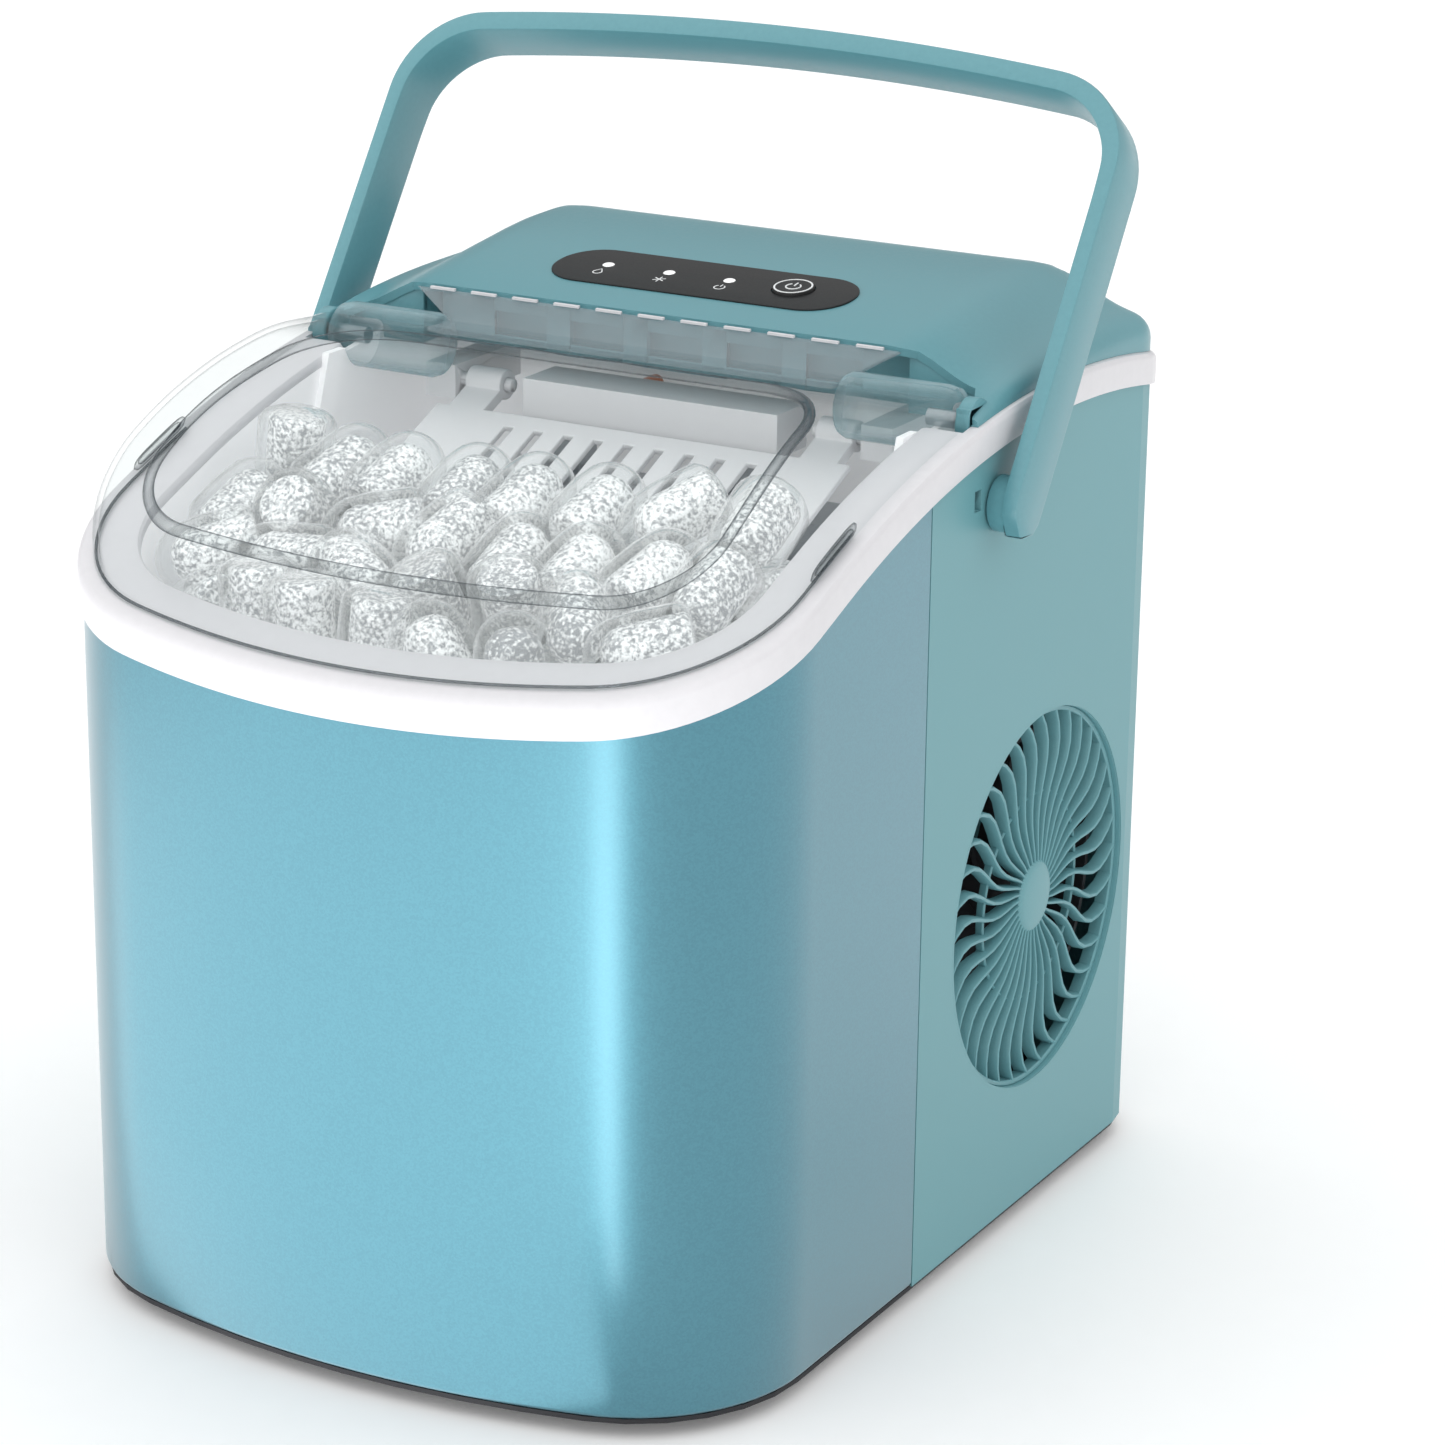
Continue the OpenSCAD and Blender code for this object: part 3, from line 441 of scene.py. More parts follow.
@dataclass(frozen=True)
class ClearSheet:
    """Thin clear stuff: light passes straight through, and the surface shows more towards its edges.

    Attributes:
        name: The material's name.
        colour: Colour of what the surface shows, as sRGB hex.
        face: Share of surface seen face on.
        edge: Share of surface seen along its edges.
        roughness: Middle roughness of the surface.
        metallic: How much of the share is a mirror image.
        blend: How narrow the edges are.
        start: Slant at which the share begins to rise.
    """

    name: str
    colour: str
    face: float
    edge: float
    roughness: float = 0.05
    metallic: float = 1.0
    blend: float = 0.15
    start: float = 0.3

    def material(self) -> bpy.types.Material:
        """Builds the material's nodes, or gives it back if it is there."""
        known = bpy.data.materials.get(self.name)
        if known:
            return known
        made, tree = blank_material(self.name)
        where = add(tree, "ShaderNodeTexCoord").outputs["Object"]
        ripple = add(tree, "ShaderNodeTexNoise", {
            "Vector": where, "Scale": 1 / (RIPPLE_MM * MM), "Detail": 2.0})
        wave = ripple.outputs["Fac"]
        relief = add(tree, "ShaderNodeBump", {"Height": wave, "Strength": 0.05, "Distance": 0.2 * MM})
        rough = add(tree, "ShaderNodeMapRange", {
            "Value": wave, "To Min": self.roughness * 0.6, "To Max": self.roughness * 1.4})
        facing = add(tree, "ShaderNodeLayerWeight", {"Blend": self.blend, "Normal": relief.outputs[0]})
        share = add(tree, "ShaderNodeMapRange", {
            "Value": facing.outputs["Facing"], "From Min": self.start, "From Max": 0.75,
            "To Min": self.face, "To Max": self.edge})
        through = add(tree, "ShaderNodeBsdfTransparent", {"Color": linear("#FDFEFE")})
        shine = add(tree, "ShaderNodeBsdfPrincipled", {
            "Base Color": linear(self.colour), "Roughness": rough.outputs[0], "Metallic": self.metallic,
            "IOR": 1.57, "Normal": relief.outputs[0]})
        both = add(tree, "ShaderNodeMixShader", {
            0: share.outputs[0], 1: through.outputs[0], 2: shine.outputs[0]})
        add(tree, "ShaderNodeOutputMaterial", {"Surface": both.outputs[0]})
        return made


# Metallic enamel baked on sheet steel: fine flakes under clear lacquer, so it mirrors softly
# and brightens at the bow.
ENAMEL = Finish("metallic_enamel_on_steel", "#4B8898", "#468090", 0.36, Pattern.FLAKE, 0.5,
                metallic=0.85, coat=1.0, bump=0.015, spread=0.02)
# ABS coloured through and moulded with fine grain: satin, with no clear mirror image. The grain is
# drawn at 0.7 mm so that it shows.
TEAL_ABS = Finish("teal_abs_fine_grain", "#6CA1A8", "#679CA3", 0.42, Pattern.GRAIN, 0.7, bump=0.1)
# The same ABS from a polished tool: smoother, with soft highlights along its edges.
TEAL_SATIN = Finish("teal_abs_satin", "#669CA5", "#6197A0", 0.33, Pattern.ORANGE, 1.6, bump=0.05)
# White ABS from a polished tool: gloss with a faint ripple.
WHITE_ABS = Finish("white_abs_gloss", "#DEDDE0", "#DAD9DC", 0.3, Pattern.ORANGE, 3.0, bump=0.01, spread=0.02)
# White polypropylene inside parts: a softer, slightly waxy surface.
WHITE_PP = Finish("white_polypropylene", "#F2F2F3", "#EDEDEF", 0.38, Pattern.GRAIN, 1.0, bump=0.06,
                  subsurface=0.05)
# The well's walls are the same plastic, with a painted glow that stands in for the light they scatter to one
# another.
WELL_PP_PAINTED_GLOW = Finish("white_polypropylene_well_painted_glow", "#F2F2F3", "#EDEDEF", 0.38, Pattern.GRAIN, 1.0, bump=0.06,
                 subsurface=0.05, glow=0.25)
# Polycarbonate film printed dark on its back: a fine matte face.
FILM = Finish("printed_overlay_film", "#19191A", "#161617", 0.45, Pattern.GRAIN, 0.4, bump=0.04, ior=1.42)
# White screen-printing ink with a painted glow, and milky lenses over lamps.
INK_PAINTED_GLOW = Finish("white_print_painted_glow", "#E4E6E7", "#DADCDD", 0.5, Pattern.GRAIN, 0.5, glow=0.15)
LENS = Finish("milky_lens", "#FBFBFB", "#F2F2F2", 0.25, Pattern.ORANGE, 1.0, glow=0.35, subsurface=0.2)
# Black ABS of the base, fan and pump: fine mould grain, satin.
BLACK_ABS = Finish("black_abs", "#17191A", "#121415", 0.42, Pattern.GRAIN, 0.7)
# Moulded rubber of feet, grommets and plug: matte, never quite black.
RUBBER = Finish("soft_rubber", "#2A2A2B", "#222223", 0.75, Pattern.GRAIN, 0.8, bump=0.2)
# Zinc-plated steel: rolled lines, a cool grey.
ZINC = Finish("zinc_plated_steel", "#B9BDC0", "#A6AAAE", 0.3, Pattern.BRUSHED, 0.9, metallic=1.0, bump=0.06)
# Drawn copper tube: warm and shiny, with faint lines.
COPPER = Finish("drawn_copper_tube", "#C77B54", "#B56A45", 0.28, Pattern.BRUSHED, 0.8, metallic=1.0,
                bump=0.05)
# Rolled aluminium of the condenser's fins: a dull mirror with lines.
ALUMINIUM = Finish("aluminium_fins", "#C4C7CA", "#B4B8BC", 0.33, Pattern.BRUSHED, 0.6, metallic=1.0,
                   bump=0.05)
# Glass-fibre circuit board under green solder mask: a thin gloss over a faint weave.
LAMINATE = Finish("green_laminate_board", "#2E6B45", "#27603C", 0.35, Pattern.GRAIN, 1.2, coat=0.3)
# Extruded silicone hose: milky, with a soft ripple.
HOSE = Finish("milky_silicone_hose", "#DADEDF", "#CED3D5", 0.4, Pattern.ORANGE, 1.5, subsurface=0.2)
# Clear styrene-acrylonitrile lid: thin walls show as little more than their reflections.
CLEAR = ClearSheet("clear_lid_plastic", "#6F7B7F", 0.025, 0.95)
# The bent-up strip at the back of the lid is seen edge-on against the cover, so it reads smoky; its pale grey
# surface share, even face on, is a painted reflection of that look.
SMOKY_PAINTED_REFLECTION = ClearSheet("clear_lid_plastic_edge_on_painted_reflection", "#B4C0C5", 0.30, 0.6, 0.12, 0.0)
# The bead and the grips are thick lines of the same plastic that bend dark and light together; their dark
# surface colour is painted shade standing in for that bending.
BEAD_PAINTED_SHADE = ClearSheet("clear_lid_bead_painted_shade", "#36424A", 0.06, 0.95, 0.08, 0.2, 0.4, 0.25)
# The lid's lower edge, seen end on through the sheet: a dark line, painted as a dark surface colour in place
# of the shade that refraction makes there.
EDGE_PAINTED_SHADE = ClearSheet("clear_lid_edge_painted_shade", "#3A444B", 0.5, 0.9, 0.1, 0.2, 0.4, 0.25)
# Thick clear plastic of the hinge ears: its teal surface colour is a painted reflection of the cover seen
# through it.
EAR_PAINTED_TINT = ClearSheet("thick_clear_plastic_painted_cover_tint", "#9FBCC2", 0.22, 0.9, 0.08, 0.1, 0.35, 0.2)
# Clear outside of the ice: a wet surface that shows mostly along its outline.
ICE = ClearSheet("clear_ice", "#FFFFFF", 0.06, 0.8, 0.07, 0.5, 0.35, 0.3)
# Frosted core round the hole that the freezing finger leaves: tiny bubbles, drawn at 1.2 mm so that they
# show.
# Their sharp white and grey speckle is partly the frost's own texture and partly painted glitter, and the
# glow is a painted glow in place of light scattered inside the ice.
FROST = Finish("frosted_ice_core_painted_glitter_glow", "#FFFFFF", "#7C8084", 0.16, Pattern.FROST, 1.2, bump=0.9, spread=0.1,
               ior=1.31, glow=0.24, metallic=0.45)
# Plain pale floor that lifts itself to the white of the room.
PALE_FLOOR = Finish("pale_plain_floor", "#FBFBFB", "#F9F9F9", 0.55, Pattern.GRAIN, 8.0, bump=0.0, glow=0.1)


def dress(piece: bpy.types.Object, finish: Finish | ClearSheet) -> bpy.types.Object:
    """Gives a piece one finish all over."""
    piece.data.materials.clear()
    piece.data.materials.append(finish.material())
    return piece


def place(piece: bpy.types.Object, body: str, slot: str, *nodes: str) -> bpy.types.Object:
    """Sets a finished piece on its body and hides the CAD nodes that it stands for."""
    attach(piece, body)
    if nodes:
        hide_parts(*nodes)
    faces = sum(len(p.vertices) - 2 for p in piece.data.polygons)
    LOG.info("%s rides on %s, %d triangles", piece.name, body, faces)
    return piece


# ---------- shared shape of the housing ----------


@dataclass
class Plan:
    """Plan outline of the housing: wide bowed front, round corners, straight sides and back."""

    side_x: float = field(default_factory=lambda: box_mm("front_wrap")[1].x)
    front_y: float = field(default_factory=lambda: box_mm("front_wrap")[0].y)
    back_y: float = field(default_factory=lambda: box_mm("rear_housing")[1].y)
    bow_r: float = 282.0
    corner_r: float = 52.0
    back_r: float = 24.0

    def front_path(self, inset: float, end_y: float, side: int = 24, corner: int = 18,
                   bow: int = 30) -> list[Flat]:
        """Path from the left side's end round the front to the right side's end.

        Args:
            inset: Distance inside the housing's face.
            end_y: Where both sides end.
            side: Steps along each side.
            corner: Steps round each corner.
            bow: Steps across the bowed front.

        Returns:
            The points, anticlockwise from above.
        """
        cx = self.side_x - self.corner_r
        wide_y = self.front_y + self.bow_r
        small_y = wide_y - math.sqrt((self.bow_r - self.corner_r) ** 2 - cx * cx)
        a = math.degrees(math.atan2(small_y - wide_y, cx))
        x = self.side_x - inset
        left = [(-x, end_y + (small_y - end_y) * i / side) for i in range(side)]
        left += arc((-cx, small_y), self.corner_r - inset, 180, 180 - a, corner)[:-1]
        middle = arc((0, wide_y), self.bow_r - inset, -180 - a, a, bow)
        return left + middle + [(-px, py) for px, py in reversed(left)]

    def back_path(self, inset: float, start_y: float, side: int = 16, corner: int = 12,
                  line: int = 24) -> list[Flat]:
        """Path from the right side's start round the back to the left side's start."""
        r = max(self.back_r - inset, 3.0)
        x, y = self.side_x - inset, self.back_y - inset
        right = [(x, start_y + (y - r - start_y) * i / side) for i in range(side)]
        right += arc((x - r, y - r), r, 0, 90, corner)
        line_points = [((x - r) * (1 - 2 * i / line), y) for i in range(1, line)]
        return right + line_points + [(-px, py) for px, py in reversed(right)]

    def loop(self, inset: float) -> list[Flat]:
        """The whole outline as a closed loop."""
        return self.front_path(inset, 40) + self.back_path(inset, 40)[1:-1]


@dataclass
class Swell:
    """The wave of the rim in side view: an arc over the back half, then a straight run down to the front."""

    top_z: float = 244.8
    top_y: float = 61.0
    radius: float = 365.0
    slope: float = 20.8

    def __call__(self, y: float, rise: float = 0.0) -> float:
        """Height at y, with the whole curve moved out by rise."""
        r = self.radius + rise
        tangent = self.top_y - r * math.sin(math.radians(self.slope))
        if y > tangent:
            return self.top_z - self.radius + math.sqrt(r * r - (y - self.top_y) ** 2)
        fall = (tangent - y) * math.tan(math.radians(self.slope))
        return self.top_z - self.radius + r * math.cos(math.radians(self.slope)) - fall


PLAN = Plan()
SWELL = Swell()
# The rim band: its height above the housing's edge, and its width to the ice well.
RIM_HIGH = 9.5
RIM_WIDE = 16.0


# ---------- housing ----------


@dataclass
class Housing:
    """Painted front wrap, moulded rear housing and the white rim band."""

    wrap: float = 1.2
    seam_y: float = -18.0
    seam_gap: float = 0.6
    bottom_z: float = 6.0
    rim_out: float = 1.5

    def front(self) -> bpy.types.Object:
        """The painted wrap, with its lower edge rolled in."""
        path = PLAN.front_path(0, self.seam_y - self.seam_gap / 2)
        inner = PLAN.front_path(self.wrap, self.seam_y - self.seam_gap / 2)
        roll = [(1.4, 0.0), (0.9, 0.25), (0.35, 0.8), (0.0, 1.6)]
        insets = [PLAN.front_path(o, self.seam_y - self.seam_gap / 2) for o, _ in roll]
        sections = []
        for i, (x, y) in enumerate(path):
            top = SWELL(y, 6.3)
            ring = [(*insets[k][i], self.bottom_z + roll[k][1]) for k in range(4)]
            ring += [(x, y, self.bottom_z + (top - self.bottom_z) * t) for t in (0.3, 0.6, 0.9)]
            ring += [(x, y, top - 0.4), (*inner[i], top), (*inner[i], self.bottom_z + 2)]
            sections.append(ring)
        return dress(Mesh().sweep(sections).object("painted_wrap"), ENAMEL)

    def rear(self) -> bpy.types.Object:
        """The moulded rear housing with its vent hole, louvres and pivot bosses."""
        return dress(refined("rear_housing", 0.0), TEAL_ABS)

    def rim(self) -> bpy.types.Object:
        """The white band with its ledge, swept round the whole plan and notched for the lid's ears."""
        out, high = self.rim_out, RIM_HIGH
        shape = [(-0.1, 0.0), (out - 0.5, 0.0), (out - 0.1, 0.15), (out, 0.6), (out, high - 2.2),
                 (out - 0.25, high - 1.2), (out - 0.9, high - 0.4), (out - 2.0, high),
                 (-RIM_WIDE + 2.2, high), (-RIM_WIDE + 0.9, high - 0.35), (-RIM_WIDE + 0.2, high - 1.2),
                 (-RIM_WIDE, high - 2.2), (-RIM_WIDE, high - 3.0), (-0.1, high - 3.0)]
        loops = [PLAN.loop(-o) for o, _ in shape]
        sections = [[(*loops[k][i], SWELL(loops[k][i][1], shape[k][1])) for k in range(len(shape))]
                    for i in range(len(loops[0]))]
        rim = Mesh().sweep(sections, closed=True).object("rim_band")
        hinge = joint_mm("lid_hinge")
        notch = Mesh()
        for side in (-1, 1):
            x0, x1 = sorted((side * 65.4, side * 107.4))
            notch.block((x0, hinge.y - 10.3, hinge.z - 10.3), (x1, hinge.y + 10.3, hinge.z + 60))
        return dress(cut(rim, notch), WHITE_ABS)

    def build(self) -> None:
        """Makes and places the housing's pieces."""
        place(self.front(), "housing", "painted_steel", "front_wrap")
        place(self.rear(), "housing", "teal_abs", "rear_housing")
        place(self.rim(), "housing", "white_abs", "rim_trim")


@dataclass
class SideVent:
    """Round vent in the right side: a bevelled seat and swirled fins between a hub and a ring."""

    radius: float = 56.7
    hub: float = 9.5
    mid_ring: float = 31.0
    fins: int = 36
    deep: float = 4.0
    below: float = 1.6

    def place_at(self, along: float, across: float, up: float) -> Point:
        """A point of the vent: along its axis from the side's face, then across and up."""
        spin = joint_mm("fan_spin")
        return PLAN.side_x + along, spin.y + across, spin.z + up

    def swirl(self, r: float) -> float:
        """How far a fin has turned at radius r, in degrees."""
        t = (r - self.hub) / (self.radius - self.hub)
        return 10 * t + 5 * math.sin(2 * math.pi * t)

    def fin(self) -> Mesh:
        """One fin, a rounded ridge that bends as it runs out."""
        rings = []
        for i in range(11):
            r = 9.0 + (self.radius - 0.6 - 9.0) * i / 10
            a = math.radians(self.swirl(r))
            half = 0.5 + 0.4 * i / 10
            c, s = math.cos(a), math.sin(a)
            ring = []
            for w, h in ((-1.15, -self.deep), (-1.0, -0.9), (-0.6, -0.2), (0, 0), (0.6, -0.2), (1.0, -0.9),
                         (1.15, -self.deep)):
                ring.append(self.place_at(h - self.below, r * c - w * half * s, r * s + w * half * c))
            rings.append(ring)
        return Mesh().sweep(rings)

    def build(self) -> None:
        """Makes the grille from repeated fins and turned rings, and the bevelled seat round it."""
        fins = self.fin().object("vent_fins")
        spin = joint_mm("fan_spin")
        centre = Vector((0, spin.y, spin.z)) * MM
        repeat_around(fins, self.fins, centre, TEAL_ABS.material())
        low, high = -self.below - self.deep, -self.below
        rings = Mesh()
        for r, half, lift in ((self.radius - 0.9, 0.8, 0.0), (self.mid_ring, 0.5, -1.6)):
            rings.lathe([(low, r - half), (high - 0.4 + lift, r - half), (high + lift, r - half + 0.4),
                         (high + lift, r + half - 0.4), (high - 0.4 + lift, r + half), (low, r + half)],
                        self.place_at, 96)
        rings.lathe([(low, 0.0), (low, 10.6), (high - 0.5, 10.6), (high + 0.1, 9.8), (high + 0.5, 8.4),
                     (high + 0.9, 5.0), (high + 1.0, 0.0)], self.place_at, 72)
        seat = self.radius
        rings.lathe([(0.02, seat + 1.0), (0.02, seat + 0.4), (-0.5, seat - 0.15), (low - 0.5, seat - 0.25),
                     (low - 0.5, seat + 1.0)], self.place_at, 96)
        hub = dress(rings.object("vent_rings"), TEAL_ABS)
        place(fins, "housing", "teal_abs", "vent_grille")
        place(hub, "housing", "teal_abs")


def repeat_tree(name: str, kinds: Iterable[tuple[str, str]]
                ) -> tuple[bpy.types.NodeTree, bpy.types.Node, bpy.types.Node]:
    """A geometry tree with named inputs, its input node and its output node.

    Args:
        name: The tree's name.
        kinds: Name and socket type of each input after the geometry.

    Returns:
        The tree, its group input and its group output.
    """
    tree = bpy.data.node_groups.new(name, "GeometryNodeTree")
    tree.interface.new_socket("Geometry", in_out="INPUT", socket_type="NodeSocketGeometry")
    for label, kind in kinds:
        tree.interface.new_socket(label, in_out="INPUT", socket_type=kind)
    tree.interface.new_socket("Geometry", in_out="OUTPUT", socket_type="NodeSocketGeometry")
    return tree, add(tree, "NodeGroupInput"), add(tree, "NodeGroupOutput")


def run_tree(thing: bpy.types.Object, tree: bpy.types.NodeTree, values: dict[str, object]) -> None:
    """Runs a geometry tree on an object and keeps the result as a plain mesh.

    Args:
        thing: The object whose mesh goes in.
        tree: The tree.
        values: Input name to value, set by each socket's identifier.
    """
    m = thing.modifiers.new(tree.name, "NODES")
    m.node_group = tree
    for item in tree.interface.items_tree:
        if item.in_out == "INPUT" and item.name in values:
            m[item.identifier] = values[item.name]
    apply_modifiers(thing)


def repeat_around(thing: bpy.types.Object, count: int, centre: Vector, finish: bpy.types.Material) -> None:
    """Repeats an object's mesh round an axis along X.

    Args:
        thing: The object that holds one copy.
        count: How many copies.
        centre: A point on the axis, in metres.
        finish: The material of the result.
    """
    tree, source, out = repeat_tree("fins_round_axis", (
        ("Count", "NodeSocketInt"), ("Centre", "NodeSocketVector"), ("Finish", "NodeSocketMaterial")))
    given = source.outputs
    back = add(tree, "ShaderNodeVectorMath", {0: given["Centre"], "Scale": -1.0}, operation="SCALE")
    moved = add(tree, "GeometryNodeTransform", {
        "Geometry": given["Geometry"], "Translation": back.outputs[0]})
    points = add(tree, "GeometryNodeMeshLine", {"Count": given["Count"], "Offset": (0.0, 0.0, 0.0)})
    index = add(tree, "GeometryNodeInputIndex")
    step = add(tree, "ShaderNodeMath", {0: 2 * math.pi, 1: given["Count"]}, operation="DIVIDE")
    angle = add(tree, "ShaderNodeMath", {0: index.outputs[0], 1: step.outputs[0]}, operation="MULTIPLY")
    turn = add(tree, "ShaderNodeCombineXYZ", {"X": angle.outputs[0]})
    spread = add(tree, "GeometryNodeInstanceOnPoints", {
        "Points": points.outputs[0], "Instance": moved.outputs[0], "Rotation": turn.outputs[0]})
    real = add(tree, "GeometryNodeRealizeInstances", {0: spread.outputs[0]})
    home = add(tree, "GeometryNodeTransform", {
        "Geometry": real.outputs[0], "Translation": given["Centre"]})
    done = add(tree, "GeometryNodeSetMaterial", {"Geometry": home.outputs[0], "Material": given["Finish"]})
    tree.links.new(done.outputs[0], out.inputs[0])
    run_tree(thing, tree, {"Count": count, "Centre": tuple(centre), "Finish": finish})


def scatter(name: str, spots: Sequence[Point], turns: Sequence[Point], unit: bpy.types.Object,
            finish: bpy.types.Material) -> bpy.types.Object:
    """Puts copies of a unit on given spots with given turns.

    Args:
        name: The result's name.
        spots: Places in metres.
        turns: Euler angles in radians.
        unit: The object to repeat, with its mesh about the origin.
        finish: The material of the result.

    Returns:
        The result as one plain mesh. The unit is removed.
    """
    data = bpy.data.meshes.new(name)
    data.from_pydata([tuple(s) for s in spots], [], [])
    turned = data.attributes.new("turn", "FLOAT_VECTOR", "POINT")
    turned.data.foreach_set("vector", [c for t in turns for c in t])
    made = bpy.data.objects.new(name, data)
    bpy.context.scene.collection.objects.link(made)
    tree, source, out = repeat_tree("copies_on_spots", (
        ("Unit", "NodeSocketObject"), ("Finish", "NodeSocketMaterial")))
    given = source.outputs
    shape = add(tree, "GeometryNodeObjectInfo", {"Object": given["Unit"]})
    turn = add(tree, "GeometryNodeInputNamedAttribute", {"Name": "turn"}, data_type="FLOAT_VECTOR")
    spread = add(tree, "GeometryNodeInstanceOnPoints", {
        "Points": given["Geometry"], "Instance": shape.outputs["Geometry"],
        "Rotation": turn.outputs["Attribute"]})
    real = add(tree, "GeometryNodeRealizeInstances", {0: spread.outputs[0]})
    done = add(tree, "GeometryNodeSetMaterial", {"Geometry": real.outputs[0], "Material": given["Finish"]})
    tree.links.new(done.outputs[0], out.inputs[0])
    run_tree(made, tree, {"Unit": unit, "Finish": finish})
    bpy.data.objects.remove(unit)
    return made


# ---------- top cover and controls ----------


# Tilt of the deck, and radius of the hole for the button.
DECK_DEG = 8.0
BUTTON_HOLE_R = 6.5
# Steps of the cover's outline along a side and round a corner, the y at which its skirt begins, and how
# far the deck's front edge leads the rest.
SIDE_STEPS = 40
CORNER_STEPS = 12
SKIRT_Y = 9.5
LEAD = 2.6


@dataclass
class TopCover:
    """Teal cover at the back: a raised, tilted deck that sinks through saddles into two shoulders."""

    wall: float = 2.4
    front_y: float = 22.8
    columns: int = 44
    lug_x: Flat = (103.0, 107.2)
    deck: Curve = field(default_factory=lambda: Curve([
        (22.8, 266.7), (51.8, 270.8), (78.8, 274.5), (94.8, 275.6), (108.8, 274.9), (124.8, 270.2),
        (134.8, 263.6), (140.8, 257.0), (143.5, 252.5)]))
    cheek: Curve = field(default_factory=lambda: Curve([
        (3, 250.2), (11, 253.4), (23, 256.4), (41, 259.2), (73, 261.4), (115, 261.0), (133, 257.4),
        (139, 253.4), (143.5, 249.0)]))

    def height(self, x: float, y: float) -> float:
        """Height of the cover's face before its outer edge is rounded."""
        share = 1 - smooth_step(abs(x), 76.5, 104.0)
        return self.cheek(y) + (self.deck(y) - self.cheek(y)) * share

    def rows(self, inset: float) -> list[Flat]:
        """A path at a distance inside the outline, from the right front round the back to the left front."""
        edge = smooth_step(inset, 6.2, 6.8)
        start = SKIRT_Y + (self.front_y + LEAD - SKIRT_Y) * edge
        return PLAN.back_path(0.4 + inset, start, side=SIDE_STEPS, corner=CORNER_STEPS, line=self.columns)

    def shell(self) -> bpy.types.Object:
        """The cover's sheet: a skirt, a rounded edge, and rows across the middle."""
        skirt = self.rows(0)
        n = len(skirt)

        def rounding(y: float) -> float:
            """Edge radius at y, never more than the cheek stands above the rim."""
            full = 8.0 - 2.5 * smooth_step(y, 118, 140)
            return max(min(full, self.cheek(y) - SWELL(y, RIM_HIGH) - 0.25), 0.05)

        loops = [[(x, y, SWELL(y, RIM_HIGH) + 0.05) for x, y in skirt]]
        for a in (0, 15, 30, 45, 60, 75, 90):
            inset = [rounding(y) * (1 - math.cos(math.radians(a))) for _, y in skirt]
            drop = [rounding(y) * (1 - math.sin(math.radians(a))) for _, y in skirt]
            loop = []
            for i in range(n):
                x, y = self.rows(inset[i])[i] if inset[i] > 0 else skirt[i]
                loop.append((x, y, self.height(x, y) - drop[i]))
            loops.append(loop)
        for inset in (8.8, 10.5, 12.5, 15.0, 18.0):
            loops.append([(x, y, self.height(x, y)) for x, y in self.rows(inset)])
        mesh = Mesh().grid(loops)
        rows = []
        for i, (x0, y0, _) in enumerate(loops[-1][:SIDE_STEPS + CORNER_STEPS + 1]):
            row = []
            for k in range(self.columns + 1):
                x = x0 * (1 - 2 * k / self.columns)
                lead = LEAD * (1 - smooth_step(abs(x), 79.5, 84)) * max(1 - i / SIDE_STEPS, 0.0)
                row.append((x, y0 - lead, self.height(x, y0 - lead)))
            rows.append(row)
        mesh.grid(rows)
        return thicken(mesh.object("top_cover_shell", 50), self.wall)

    def inside(self) -> Mesh:
        """Front wall with its recesses, and the lugs that hold the lid's pins."""
        hinge = joint_mm("lid_hinge")
        y0, y1, z0, z1 = hinge.y + 20, hinge.y + 22, SWELL.top_z + 2.6, SWELL.top_z + 21.4
        mesh = Mesh()
        xs = [-79.0] + [c + s * 9 for c in (-52, -26, 0, 26, 52) for s in (-1, 1)] + [79.0]
        for a, b in zip(xs[::2], xs[1::2]):
            mesh.block((a, y0, z0), (b, y1, z1))
        for a, b in zip(xs[1:-1:2], xs[2:-1:2]):
            mesh.block((a, y0, z0), (b, y1, z0 + 3.4))
            mesh.block((a, y0, z0 + 10.4), (b, y1, z1))
        mesh.block((-79, y1 + 3.2, z0), (79, y1 + 4.4, z1))
        for side in (-1, 1):
            wall = [(side * (79.9 + 24.6 * k / 8), hinge.y + 11.2) for k in range(9)]
            mesh.sweep([[(x, y, z0), (x, y + 2, z0), (x, y + 2, self.height(x, y + 2) - 0.9),
                         (x, y, self.height(x, y) - 0.9)] for x, y in wall])
            x0, x1 = sorted((side * 79.9, side * 81.5))
            mesh.block((x0, hinge.y + 12, z0), (x1, y1, z1 - 3.6))
        for side in (-1, 1):
            def lug(along: float, across: float, up: float, side: int = side) -> Point:
                """From the hinge's own axes to the machine."""
                return side * along, hinge.y + across, hinge.z + up

            near, far = self.lug_x
            mesh.lathe([(near, 0), (near, 6.6), (near + 0.4, 7.0), (far, 7.0), (far, 0)], lug, 36)
            x0, x1 = sorted((side * near, side * far))
            mesh.block((x0, hinge.y - 6, hinge.z - 0.5), (x1, hinge.y + 7, SWELL.top_z + 10.6))
        return mesh

    def build(self) -> None:
        """Makes the cover, with the button's hole cut through it."""
        shell = self.shell()
        low, high = box_mm("power_button")
        x, y, z = (low + high) / 2
        lean = math.tan(math.radians(DECK_DEG))
        hole = Mesh().lathe([(-12, 0), (-12, BUTTON_HOLE_R), (12, BUTTON_HOLE_R), (12, 0)],
                            lambda a, b, c: (x + b, y + c - a * lean, z + a), 40)
        shell = dress(cut(shell, hole), TEAL_SATIN)
        place(shell, "housing", "teal_abs", "top_cover")
        place(dress(bevel(self.inside().object("cover_inner_wall"), 0.4), TEAL_SATIN), "housing", "teal_abs")


